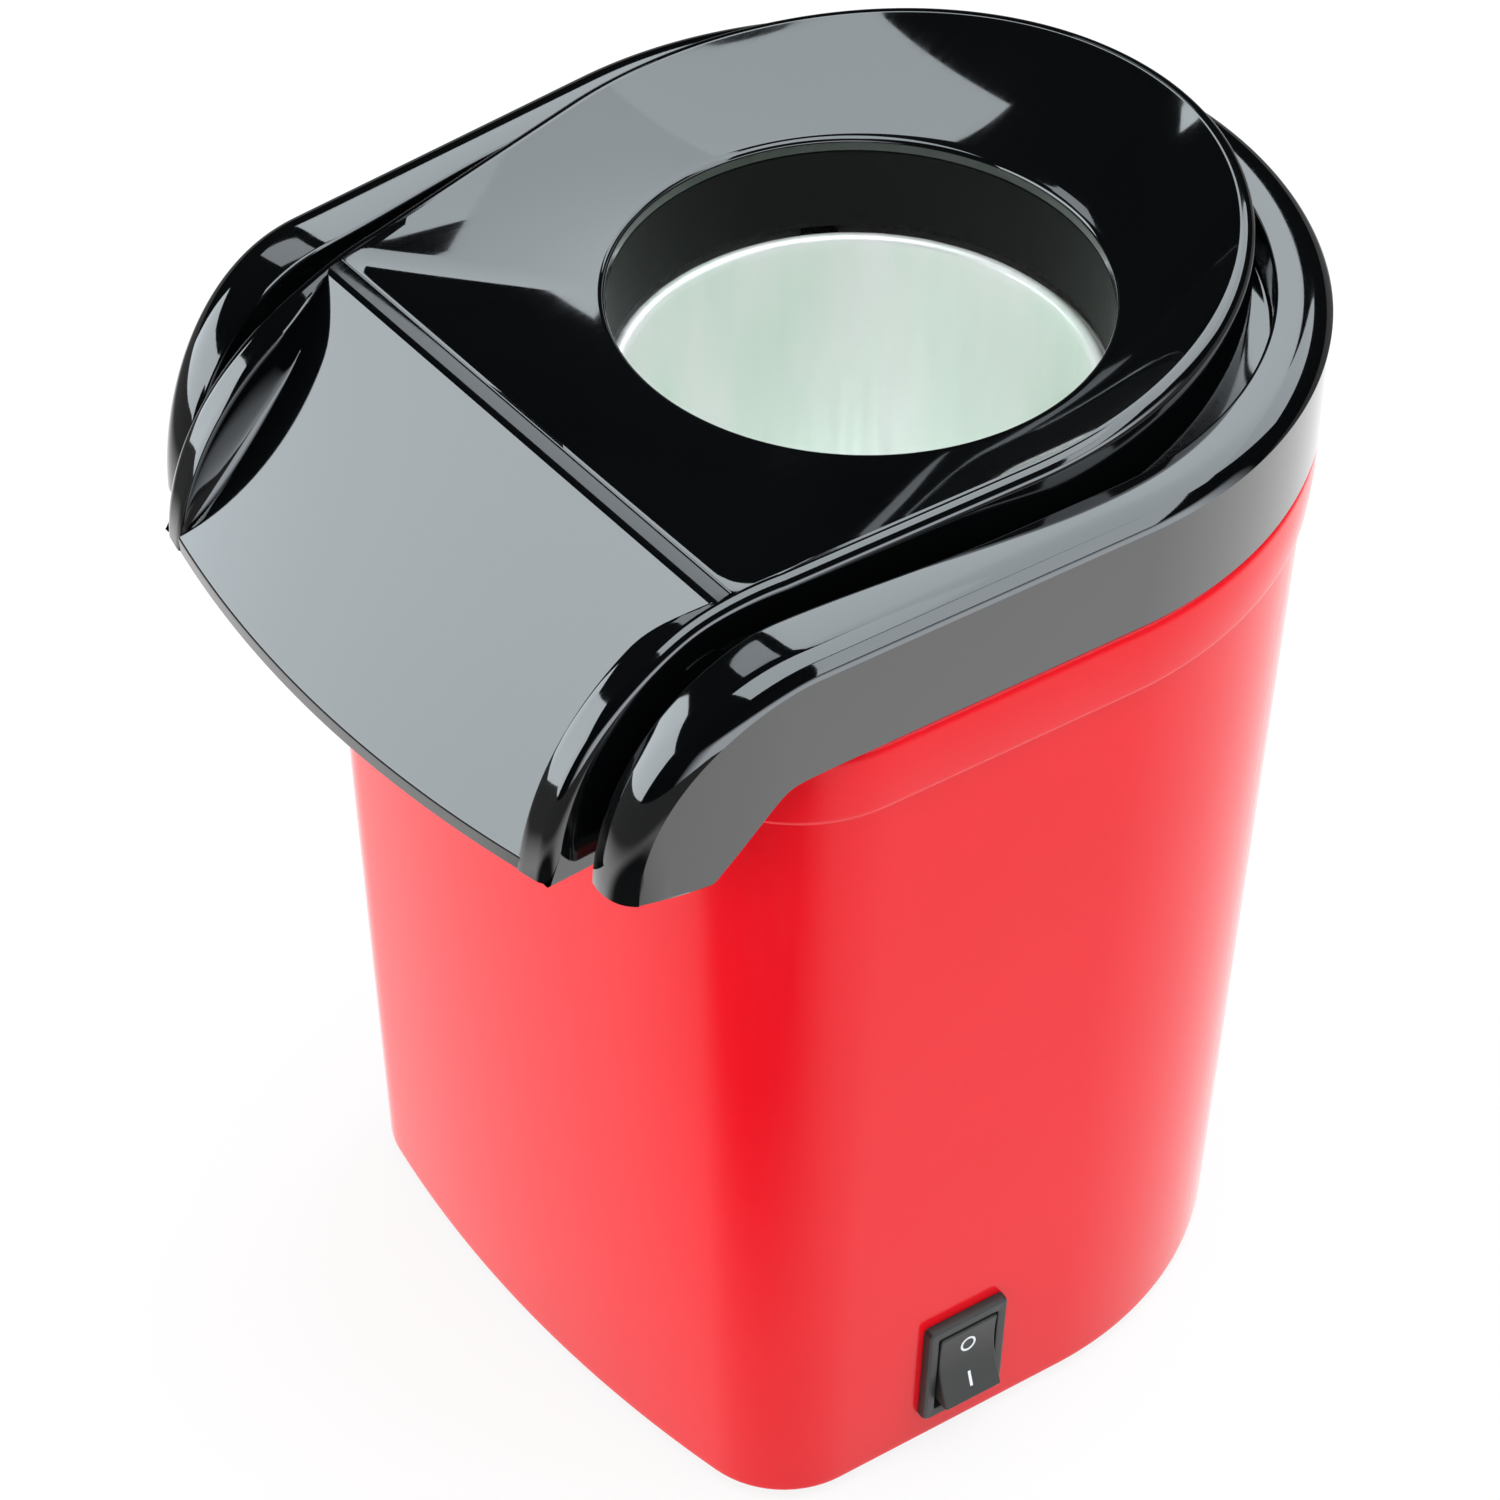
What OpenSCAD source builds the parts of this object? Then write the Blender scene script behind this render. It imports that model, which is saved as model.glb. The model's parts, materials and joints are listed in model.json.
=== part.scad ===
// Hot-air popcorn maker. Millimetres, +Z up, +Y to the rear, the chute faces -Y.
// The origin is on the table under the middle of the outline. The shapes are laid out from the
// popping chamber's axis, and placed() moves them to that origin.

/* [Housing] */
// How far the rubber feet hold the housing above the table
foot_proud = 2; // [1:0.5:5]
// Half width of the housing at its bottom edge
body_w = 59.2; // [56:0.2:64]
// Distance of the housing's rear centre behind the chamber axis
rear_y = 2; // [0:0.5:4]
// Length of the straight sides, from the rear centre to the front line
body_s = 58; // [56:1:64]
// How much each side closes in towards the front
side_in = 3.5; // [1:0.5:5]
// Radius of the housing's front corners
corner_r = 16; // [13:1:18]
// Bow of the housing's front face
front_bow = 6.8; // [3:0.2:9]
// Outward draft of the housing's walls in degrees
draft = 2.28; // [1.6:0.02:2.8]
// Wall thickness of the housing and the lid
wall = 2.2; // [1.8:0.1:2.6]
// Height of the housing's top edge
body_top = 164.2; // [163:0.2:168]
// Height of the moulded line round the housing
ridge_z = 151.6; // [148:0.2:152]
// How far the band above that line stands out
ridge_out = 0.7; // [0.3:0.1:1]
// Depth of the notch in the front edge that the chute passes over
front_cut = 9.7; // [8:0.1:10]

/* [Lid] */
// Running gap between parts that lift off or move
gap = 0.3; // [0.2:0.05:0.4]
// Height of the outer band's crest
band_z = 185; // [184:0.5:187]
// How far the band stands outside the housing's top edge
band_out = 0.5; // [0.3:0.1:1]
// Width of the band from its outer face to the groove
band_width = 8.6; // [7.5:0.1:9]
// Radius of the band's outer edge
band_round = 4.5; // [3:0.5:5]
// Depth of the groove between the band and the raised top
groove_depth = 8; // [6:0.5:9]
// Height of the raised top at the chamber axis
top_z = 191.25; // [190:0.25:193]
// Rise of the raised top towards the rear, in mm for each mm
top_rise = 0.076; // [0:0.004:0.08]
// Half width of the raised top
top_w = 55.4; // [55:0.2:56.4]
// Reach of the raised top behind its own centre
top_reach = 61.6; // [60:0.2:62]
// Centre of the raised top's rear curve
top_y = -3.5; // [-4.5:0.5:-3]
// Radius of the filling hole
hole_r = 37.2; // [36.6:0.1:38]
// Height of the filling hole's edge
hole_z = 182.4; // [181:0.2:184]
// Line where the raised top turns down into the hood
crease_y = -61.3; // [-63:0.2:-60]
// Half width of the hood
hood_w = 47.5; // [46:0.5:48.5]
// Reach of the hood's side edges in front of the axis
hood_y = 91; // [88:0.5:94]
// Bow of the hood's front lip
lip_bow = 5.7; // [3:0.1:7]
// Height of the lip's lower edge
lip_z = 151.4; // [150:0.2:153]
// Thickness of the lip
lip_t = 2.6; // [2:0.1:3]
// Width of the rounded rails beside the hood's recessed face
rail_w = 2.5; // [2:0.1:3]
// Drop for each mm of the recess's drafted side walls
recess_slope = 1.2; // [1:0.05:1.6]
// Reach of the band's two noses in front of the axis
nose_y = 88.4; // [86:0.2:90]
// Height of the noses' lower edge
nose_z = 151.5; // [150:0.5:154]
// Radius of the noses' outer corners, seen from above
nose_round = 14; // [10:1:16]

/* [Popping chamber] */
// Inner radius of the chamber
can_r = 35.2; // [34:0.1:35.6]
// Wall thickness of the chamber's sheet
can_t = 0.8; // [0.6:0.1:1]
// Height of the chamber's rolled rim
can_top = 165.2; // [164.6:0.2:165.6]
// Height of the chamber's floor at its wall
can_floor = 97; // [94:0.5:100]
// Number of air louvres round the chamber
louvres = 18; // [12:1:20]
// Height of the louvres' openings
louvre_h = 11; // [8:0.5:13]
// Outer radius of the heater duct
duct_r = 43; // [41.5:0.5:44]
// Height of the duct's top, above the louvres
duct_top = 122; // [118:0.5:126]

/* [Blower] */
// Height of the joint between the fan housing and the duct
fan_top = 63.5; // [61:0.5:66]
// Depth of the fan housing under that joint
fan_depth = 17.5; // [16:0.5:19]
// Radius of the impeller
fan_r = 32; // [26:1:35]
// Number of impeller blades
blades = 10; // [6:1:14]
// Radius of the motor
motor_r = 14; // [13:0.5:16]
// Length of the motor's steel can
motor_len = 30; // [28:0.5:31]
// Radius of the motor shaft
shaft_r = 1.6; // [1.2:0.1:2]
// Running clearance of the shaft in its bushes
shaft_fit = 0.05; // [0.03:0.01:0.08]
// Turns of the heating coil
coil_turns = 4; // [2:1:4]
// Radius of the heating coil's turns
coil_r = 33; // [28:0.5:36]

/* [Switch and inlet] */
// Length of the switch's bezel, up and down the wall
switch_l = 21; // [20:0.5:23]
// Width of the switch's bezel
switch_w = 15; // [14:0.5:16]
// Height of the switch's middle
switch_z = 18.7; // [18:0.1:24]
// Place of the switch's middle along the side wall
switch_y = -22; // [-24:0.5:-18]
// Travel of the rocker in degrees
rocker_travel = 20; // [14:1:22]
// Radius of the cord inlet's bore
inlet_r = 3.4; // [3:0.1:4]
// Height of the cord inlet
inlet_z = 18; // [16:0.5:22]

/* [Base] */
// Thickness of the base plate
base_t = 3; // [2.5:0.5:3.5]
// Radius of the rubber feet
foot_r = 6; // [5:0.5:7]
// Radius of the posts that carry the blower
post_r = 3.8; // [3.4:0.1:4.4]
// Distance of the posts from the axis, along X and along Y
post_at = 36; // [35:0.5:37.5]

/* [Hidden] */
$fn = 72;

RED = "#e8222c";
BLACK = "#15171a";
STEEL = "#b9bcc0";
BRASS = "#c9a24a";

// ---- Housing plan: a D, given as points with their outward normals ----
function unit(v) = v / norm(v);
function mix(a, b, f) = a * (1 - f) + b * f;
function smooth(f) = let (t = min(1, max(0, f))) t * t * (3 - 2 * t);

// Rear curve of half width w and given reach about [0, yr], straight sides that close in to
// half width wf at the front line yf, corners of radius rc and a front bowed by bow
function d_plan(w, reach, yr, wf, yf, bow, rc, nr, ns, nc, nf) =
    let (sl = atan2(w - wf, yr - yf),
        rf = (wf * wf + bow * bow) / (2 * bow),
        yc = yf - bow + rf,
        n = [cos(sl), -sin(sl)],
        d = [-sin(sl), -cos(sl)],
        p0 = [w * cos(sl), yr - reach * sin(sl)],
        u = p0 - n * rc - [0, yc],
        b = 2 * (d * u),
        t = (-b + sqrt(b * b - 4 * (u * u - pow(rf - rc, 2)))) / 2,
        c = p0 - n * rc + d * t,
        a1 = atan2(c[1] - yc, c[0]),
        p1 = c + n * rc)
    concat(
        [for (i = [0:nr]) let (a = -sl + (180 + 2 * sl) * i / nr, m = unit([cos(a) / w, sin(a) / reach]))
            [w * cos(a), yr + reach * sin(a), m[0], m[1]]],
        [for (i = [1:ns]) let (p = mix(p0, p1, i / (ns + 1))) [-p[0], p[1], -n[0], n[1]]],
        [for (i = [0:nc]) let (a = -sl + (a1 + sl) * i / nc)
            [-c[0] - rc * cos(a), c[1] + rc * sin(a), -cos(a), sin(a)]],
        [for (i = [1:nf - 1]) let (a = 180 - a1 + (180 + 2 * a1) * i / nf)
            [rf * cos(a), yc + rf * sin(a), cos(a), sin(a)]],
        [for (i = [0:nc]) let (a = a1 - (a1 + sl) * i / nc)
            [c[0] + rc * cos(a), c[1] + rc * sin(a), cos(a), sin(a)]],
        [for (i = [1:ns]) let (p = mix(p1, p0, i / (ns + 1))) [p[0], p[1], n[0], n[1]]]);

body_bottom = foot_proud;
spread = tan(draft);
function grow(z) = (z - body_bottom) * spread;
body_plan = d_plan(body_w, body_w, rear_y, body_w - side_in, rear_y - body_s, front_bow, corner_r,
    36, 5, 5, 8);
function at_offset(p, off) = [p[0] + p[2] * off, p[1] + p[3] * off];
function body_ring(off) = [for (p = body_plan) at_offset(p, off)];
side_slope = atan2(side_in, body_s);

// Closed solid between an outer and an inner grid of points with as many rows and columns;
// wrap joins the last column to the first
module sheet(outer, inner, wrap = false) {
    rows = len(outer);
    cols = len(outer[0]);
    base = rows * cols;
    last = wrap ? cols - 1 : cols - 2;
    function o(i, j) = i * cols + j % cols;
    function n(i, j) = base + i * cols + j % cols;
    polyhedron(
        points = concat([for (r = outer) each r], [for (r = inner) each r]),
        faces = concat(
            [for (i = [0:rows - 2], j = [0:last]) each
                [[o(i, j), o(i + 1, j + 1), o(i, j + 1)], [o(i, j), o(i + 1, j), o(i + 1, j + 1)]]],
            [for (i = [0:rows - 2], j = [0:last]) each
                [[n(i, j), n(i, j + 1), n(i + 1, j + 1)], [n(i, j), n(i + 1, j + 1), n(i + 1, j)]]],
            [for (j = [0:last]) each
                [[o(0, j), o(0, j + 1), n(0, j + 1)], [o(0, j), n(0, j + 1), n(0, j)]]],
            [for (j = [0:last]) let (i = rows - 1) each
                [[o(i, j), n(i, j + 1), o(i, j + 1)], [o(i, j), n(i, j), n(i, j + 1)]]],
            wrap ? [] : [for (i = [0:rows - 2]) each
                [[o(i, 0), n(i, 0), n(i + 1, 0)], [o(i, 0), n(i + 1, 0), o(i + 1, 0)]]],
            wrap ? [] : [for (i = [0:rows - 2]) let (j = cols - 1) each
                [[o(i, j), n(i + 1, j), n(i, j)], [o(i, j), o(i + 1, j), n(i + 1, j)]]]));
}

// ---- Heights along the lid ----
// Height of the housing's top edge at a point of its plan: a notch passes under the hood
notch_y = rear_y - body_s + corner_r / 4;
notch_w = hood_w + 4 * gap;
notch_run = 6;
function notch(x) = front_cut * (1 - smooth((abs(x) - notch_w) / notch_run));
function edge_z(q) = body_top - (q[1] < notch_y ? notch(q[0]) : 0);
function plane_z(y) = top_z + top_rise * y;
lip_top = lip_z + lip_t;
crease_z = plane_z(crease_y);
// The rails fall along a quarter of an ellipse
rail_start = crease_y + 3.3;
rail_top = plane_z(rail_start);
function rail_z(y) = y > rail_start ? plane_z(y) :
    lip_z + (rail_top - lip_z) * sqrt(max(0, 1 - pow((rail_start - y) / (hood_y + rail_start), 2)));
// The band's crest falls the same way into the noses
nose_start = rail_start;
function crest_z(y) = y > nose_start ? band_z :
    nose_z - 0.5 + (band_z - nose_z + 0.5)
        * sqrt(max(0, 1 - pow((nose_start - y) / (nose_y + nose_start), 2)));
skirt_z = body_top + gap;
function skirt_edge(y) = skirt_z - (skirt_z - nose_z) * smooth((notch_y - 5 - y) / 18);
// Distance of the chamber's axis behind the middle of the outline
axis_y = (hood_y + lip_bow - rear_y - body_w - grow(body_top) - ridge_out - band_out) / 2;
module placed() translate([0, axis_y, 0]) children();

// Front lip of the hood, bowed forwards
lip_r = (hood_w * hood_w + lip_bow * lip_bow) / (2 * lip_bow);
function lip_y(x) = -hood_y - lip_bow + lip_r - sqrt(lip_r * lip_r - x * x);

// ---- Base layout ----
base_z = body_bottom + 1;
base_top = base_z + base_t;
post_top = fan_top - 2.5;
fan_floor = fan_top - fan_depth;
// Pairs stand at an angle and a reach on the rear curve, and at an inset from the side walls in front
function rear_pair(reach, a) = [for (s = [1, -1]) [s * reach * cos(a), rear_y + reach * sin(a)]];
function front_pair(x, y) = [[x, y], [-x, y]];
foot_reach = body_w - wall - foot_r - 0.1;
foot_at = concat(rear_pair(foot_reach, 43.4), front_pair(body_w - 22.2, -47));
base_boss_r = 4;
base_screw_l = 8;
base_screw_at = concat(rear_pair(body_w - wall - base_boss_r - 1.1, 27.5), front_pair(body_w - 12.2, -42));
post_xy = [for (sx = [-1, 1], sy = [-1, 1]) [sx * post_at, sy * post_at]];
deck_z = can_top - 7.2;
deck_t = 3;
deck_top = deck_z + deck_t;
deck_boss_r = 4;
deck_at = concat(rear_pair(body_w - wall - deck_boss_r + 0.3, 39.7), front_pair(body_w - 9.2, -34));
deck_in = wall + 2.8;
screw_r = 1.5;
head_r = 2.9;
head_h = 2;

// Pan-head screw: its seat is at z = 0, the head above and the shank below
module screw(len) {
    difference() {
        union() {
            translate([0, 0, -len]) cylinder(r = screw_r, h = len, $fn = 24);
            rotate_extrude($fn = 32)
                polygon([[0, 0], [head_r, 0], [head_r, head_h * 0.5], [head_r * 0.7, head_h], [0, head_h]]);
        }
        for (a = [0, 90]) rotate([0, 0, a])
            translate([-head_r * 0.55, -0.35, head_h - 0.9]) cube([head_r * 1.1, 0.7, 1]);
    }
}

module at(list) for (p = list) translate([p[0], p[1], 0]) children();

// ---- Housing ----
module body_skin() {
    function lift(f, p, off) = let (q = at_offset(p, off), e = edge_z(at_offset(p, grow(body_top))))
        [q[0], q[1], mix(ridge_z + 0.8, e, f)];
    function flat_row(off, z) = [for (p = body_plan) let (q = at_offset(p, off)) [q[0], q[1], z]];
    g = grow(ridge_z);
    gt = grow(body_top);
    sheet(
        [flat_row(-0.8, body_bottom), flat_row(-0.2, body_bottom + 0.6),
        flat_row(grow(body_bottom + 2), body_bottom + 2),
            flat_row(g, ridge_z), flat_row(g + ridge_out, ridge_z + 0.8),
            [for (p = body_plan) lift(0.4, p, mix(g, gt, 0.4) + ridge_out * 1.25)],
            [for (p = body_plan) lift(1, p, gt + ridge_out)]],
        [flat_row(-wall, body_bottom), flat_row(-wall, body_bottom + 0.6),
            flat_row(grow(body_bottom + 2) - wall, body_bottom + 2),
            flat_row(g - wall, ridge_z), flat_row(g + ridge_out - wall, ridge_z + 0.8),
            [for (p = body_plan) lift(0.4, p, mix(g, gt, 0.4) + ridge_out * 1.25 - wall)],
            [for (p = body_plan) lift(1, p, gt + ridge_out - wall)]],
        wrap = true);
}

// Space inside the housing between two heights, reaching half way into its wall
module inner_space(z0, z1) {
    polyhedron(
        points = concat(
            [for (p = body_ring(grow(z0) - wall * 0.6)) [p[0], p[1], z0]],
            [for (p = body_ring(grow(z1) - wall * 0.6)) [p[0], p[1], z1]]),
        faces = let (n = len(body_plan)) concat(
            [[for (i = [0:n - 1]) i]],
            [[for (i = [n - 1:-1:0]) n + i]],
            [for (i = [0:n - 1]) each [[i, n + i, n + (i + 1) % n], [i, n + (i + 1) % n, (i + 1) % n]]]));
}

// Bosses on the inside of the wall, each with a web out to it
module wall_bosses(list, z0, z1, r) {
    intersection() {
        inner_space(z0, z1);
        for (p = list) union() {
            translate([p[0], p[1], z0]) cylinder(r = r, h = z1 - z0, $fn = 32);
            translate([p[0], p[1], z0]) rotate([0, 0, p[1] > 0 ? atan2(p[1], p[0]) : p[0] > 0 ? 0 : 180])
                translate([0, -1, 0]) cube([20, 2, z1 - z0]);
        }
    }
}

switch_x = (body_w + grow(switch_z)) / cos(side_slope) - (rear_y - switch_y) * tan(side_slope);
module at_switch() {
    translate([switch_x, switch_y, switch_z]) rotate([0, 0, -side_slope]) rotate([0, draft, 0]) children();
}
inlet_y = rear_y + body_w + grow(inlet_z);
gland_r = inlet_r + 1.8;

module body_shell() color(RED) placed() difference() {
    union() {
        body_skin();
        wall_bosses(deck_at, deck_z - 22, deck_z, deck_boss_r);
        wall_bosses(base_screw_at, base_top, base_top + 16, base_boss_r);
    }
    at_switch() translate([-10, -switch_w / 2 + 1.2 - gap, -switch_l / 2 + 1.2 - gap])
        cube([20, switch_w - 2.4 + 2 * gap, switch_l - 2.4 + 2 * gap]);
    translate([0, inlet_y + wall + 3, inlet_z]) rotate([90, 0, 0])
        cylinder(r = gland_r + gap / 2, h = 20, $fn = 48);
    at(deck_at) translate([0, 0, deck_z - deck_screw_l - 2])
        cylinder(r = screw_r, h = deck_screw_l + 3, $fn = 24);
    at(base_screw_at) translate([0, 0, base_top - 1]) cylinder(r = screw_r, h = base_screw_l + 3, $fn = 24);
}

// ---- Lid ----
top_plan = d_plan(top_w, top_reach, top_y, hood_w, crease_y, 0.05, wall + 0.8, 36, 6, 2, 10);

// Raised top: side wall, rounded edge, shallow dish and the edge of the filling hole
module raised_top() {
    function front(p) = p[1] < crease_y + 0.3 ? 1 : 0;
    // Row at an inward offset and a drop, with other values along the crease
    function row(off, drop, f_off, f_drop) = [for (p = top_plan)
        let (f = front(p), q = at_offset(p, -mix(off, f_off, f)))
        [q[0], q[1], plane_z(p[1]) - mix(drop, f_drop, f)]];
    function dish_row(f, f_off, drop) = [for (p = top_plan)
        let (q = at_offset(p, -mix(2, f_off, front(p))), c = unit([p[0], p[1]]) * (hole_r + 1.2),
            e = plane_z(p[1]))
        [mix(q[0], c[0], f), mix(q[1], c[1], f), mix(e, hole_z, f * (1.35 - 0.35 * f)) - drop]];
    function hole_row(r, z) = [for (p = top_plan) let (c = unit([p[0], p[1]]) * r) [c[0], c[1], z]];
    foot = plane_z(0) - (band_z - groove_depth - 1);
    function wall_row(off, f_off, f_drop) = [for (p = top_plan)
        let (f = front(p), q = at_offset(p, -mix(off, f_off, f)))
        [q[0], q[1], plane_z(p[1]) - mix(foot + top_rise * p[1], f_drop, f)]];
    t = wall;
    steps = [0.25, 0.5, 0.75, 1];
    sheet(
        concat([wall_row(-0.3, 0, t * 0.9), row(0, 2, 0, t * 0.6), row(0.5, 0.7, 0, t * 0.3),
            dish_row(0, 0, 0)],
            [for (f = steps) dish_row(f, 0, 0)],
            [hole_row(hole_r + 0.3, hole_z - 0.3), hole_row(hole_r, hole_z - 1.1)]),
        concat([wall_row(t - 0.3, 0.4, t), row(t, 3.6, 0.8, t), row(t + 0.2, 3.2, 1.2, t),
            dish_row(0, 1.6, t)],
            [for (f = steps) dish_row(f, 1.6, t)],
            [hole_row(hole_r + 1, hole_z - t), hole_row(hole_r, hole_z - t)]),
        wrap = true);
}

// Hood over the chute: flat ramp between two rounded rails, drafted recess walls, side walls
rail_in = 0.4;
hood_steps = [0, 0.08, 0.18, 0.3, 0.42, 0.54, 0.66, 0.78, 0.88, 0.95, 1];
module hood() {
    across = [1, 0.75, 0.5, 0.25, 0];
    side = [hood_w, hood_w, hood_w - 0.6, hood_w - rail_w / 2, hood_w - rail_w];
    function ramp_z(v) = mix(crease_z, lip_top, v);
    function rail_y(v) = mix(crease_y, -hood_y, v);
    function top_of(v) = max(ramp_z(v) + 0.05, rail_z(rail_y(v)));
    function depth(v) = top_of(v) - ramp_z(v);
    function foot_x(v) = hood_w - rail_w - depth(v) / recess_slope - 0.02;
    // The side walls stay above the housing's edge and reach down in front of it
    function side_foot(v) = mix(lip_z, body_top - front_cut + 3, smooth((rail_y(v) - crease_y + 17) / 8));
    function ramp_point(x, v, drop) = [x, mix(crease_y, lip_y(x), v), ramp_z(v) - drop];
    drops = [0, 1.8, 0.5, 0, 0.4];
    function half_out(v, s) = concat(
        [[s * side[0], rail_y(v), side_foot(v)]],
        [for (i = [1:4])
            [s * side[i], rail_y(v), max(ramp_z(v) - (i == 1 ? 1.5 : 0), top_of(v) - drops[i])]],
        [for (f = across) ramp_point(s * foot_x(v) * f, v, 0)]);
    function half_in(v, s) = concat(
        [[s * (hood_w - wall), rail_y(v), side_foot(v)]],
        [for (i = [1:4]) [s * (hood_w - wall - i * 0.1), rail_y(v),
            ramp_z(v) - lip_t + 0.45 * depth(v) - (i == 1 ? 0.1 : 0)]],
        [for (f = across) ramp_point(s * (foot_x(v) - rail_in) * f, v, lip_t)]);
    function flip(l) = [for (i = [len(l) - 2:-1:0]) l[i]];
    function back_row(l, dy, dz) = [for (p = l) [p[0], p[1] + dy, p[2] - dz]];
    function row_out(v) = concat(half_out(v, 1), flip(half_out(v, -1)));
    function row_in(v) = concat(half_in(v, 1), flip(half_in(v, -1)));
    sheet(concat([back_row(row_out(0), 1, 0.2)], [for (v = hood_steps) row_out(v)]),
        concat([back_row(row_in(0), 1, 0.2)], [for (v = hood_steps) row_in(v)]));
}

// Outer band: groove floor, inner face, crest, rounded outer edge and skirt, ending in two noses
band_w = body_w + grow(body_top) + ridge_out + band_out;
nose_cut = 2;
nose_steps = [for (k = [nose_cut, 3, 4.8, 7.4, 11, 15, 20, 25, 30, 36, 44, 56, 68, 80]) nose_y - k];
function side_x(y) = band_w / cos(side_slope) - (rear_y - y) * tan(side_slope);
function on_side(y, s) = [s * side_x(y), y, s * cos(side_slope), -sin(side_slope)];
band_path = concat(
    [for (y = nose_steps) on_side(-y, 1)],
    [for (i = [0:36]) let (a = -side_slope + (180 + 2 * side_slope) * i / 36)
        [band_w * cos(a), rear_y + band_w * sin(a), cos(a), sin(a)]],
    [for (i = [len(nose_steps) - 1:-1:0]) on_side(-nose_steps[i], -1)]);
// How far the nose's plan is rounded in at a distance along the side
function nose_in(y) = let (d = -y - nose_y + nose_round)
    d <= 0 ? 0 : nose_round * (1 - sqrt(max(0, 1 - pow(d / nose_round, 2))));
// Width from the band's outer face to the middle of the raised top's wall
function floor_in(y) = let (f = min(1, max(0, (top_y - y) / (top_y - crease_y))))
    band_w - top_w + wall / 2 + f * (top_w - hood_w - side_in - 0.8);

module band() {
    function put(p, e, z) = let (q = at_offset(p, -e)) [q[0], q[1], z];
    function squeeze(p, e) = let (k = nose_in(p[1])) k + e * (band_width - k) / band_width;
    function row_out(p) = let (zt = crest_z(p[1]), zb = skirt_edge(p[1]), r = band_round,
        zf = max(zt - groove_depth, zb + wall + 0.2))
        [put(p, floor_in(p[1]), zf), put(p, band_width, zf),
        put(p, squeeze(p, band_width - 0.3), max(zf + 0.3, zt - 1.2)),
        put(p, squeeze(p, band_width - 1.4), max(zf + 0.5, zt - 0.2)),
        put(p, squeeze(p, r), zt),
        put(p, squeeze(p, r * 0.5), zt - r * 0.134), put(p, squeeze(p, r * 0.134), zt - r * 0.5),
        put(p, nose_in(p[1]), max(zb + 0.3, zt - r)), put(p, nose_in(p[1]), zb)];
    // The noses are hollow from below and close up to solid tips
    function row_in(p) = let (zt = crest_z(p[1]), zb = skirt_edge(p[1]), t = wall,
        zf = max(zt - groove_depth, zb + t + 0.2), shut = smooth((8 - nose_y - p[1]) / 4),
        zc = mix(max(zf - t + 0.1, zt - t), zb + 0.15, shut))
        [put(p, floor_in(p[1]), zf - t), put(p, squeeze(p, band_width - t), zf - t),
        put(p, squeeze(p, band_width - t - 0.1), min(zc, max(zf - t + 0.05, zt - t - 1))),
        put(p, squeeze(p, band_width - t - 0.4), zc),
        put(p, squeeze(p, band_round), zc),
        put(p, squeeze(p, t + 1.4), max(zb + 0.12, min(zc, zt - t - 0.5))),
        put(p, squeeze(p, t + 0.3), max(zb + 0.1, min(zc, zt - t - 2))),
        put(p, squeeze(p, t), max(zb + 0.05, min(zc, zt - band_round - 0.5))), put(p, squeeze(p, t), zb)];
    sheet([for (p = band_path) row_out(p)], [for (p = band_path) row_in(p)]);
}

// Tongue inside the skirt that centres the lid in the housing
tongue_in = band_out + wall + gap + 0.1;
tongue_t = 1.6;
tongue_drop = 5;
tongue_front = crease_y + 17.3;
module tongue() {
    function ring_at(e) = [for (p = body_plan) at_offset(p, band_w - body_w - e)];
    intersection() {
        difference() {
            union() {
                translate([0, 0, skirt_z - tongue_drop]) linear_extrude(height = tongue_drop + 2.4)
                    polygon(ring_at(tongue_in));
                translate([0, 0, skirt_z + 0.8]) linear_extrude(height = 1.6) polygon(ring_at(wall * 0.5));
            }
            translate([0, 0, skirt_z - tongue_drop - 1]) linear_extrude(height = tongue_drop + 5)
                polygon(ring_at(tongue_in + tongue_t));
        }
        translate([-100, tongue_front, 100]) cube([200, 150, 100]);
    }
}

// Screws stand midway between the throat and the raised top's wall
lid_boss_r = 3;
lid_screw_reach = (hole_r + top_w) / 2 - 0.8;
lid_screw_at = [for (a = [35, 90, 145, 195, 345]) lid_screw_reach * [cos(a), sin(a)]];
chute_flange = 174;
flange_t = 2;
boss_foot = chute_flange + flange_t;
lid_screw_l = 5;
module lid_cover() color(BLACK) placed() union() {
    raised_top();
    hood();
    band();
    tongue();
    difference() {
        at(lid_screw_at) translate([0, 0, boss_foot])
            cylinder(r = lid_boss_r, h = hole_z + 2.4 - boss_foot, $fn = 32);
        at(lid_screw_at) translate([0, 0, boss_foot - 1])
            cylinder(r = screw_r, h = lid_screw_l + 2, $fn = 24);
    }
}

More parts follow.
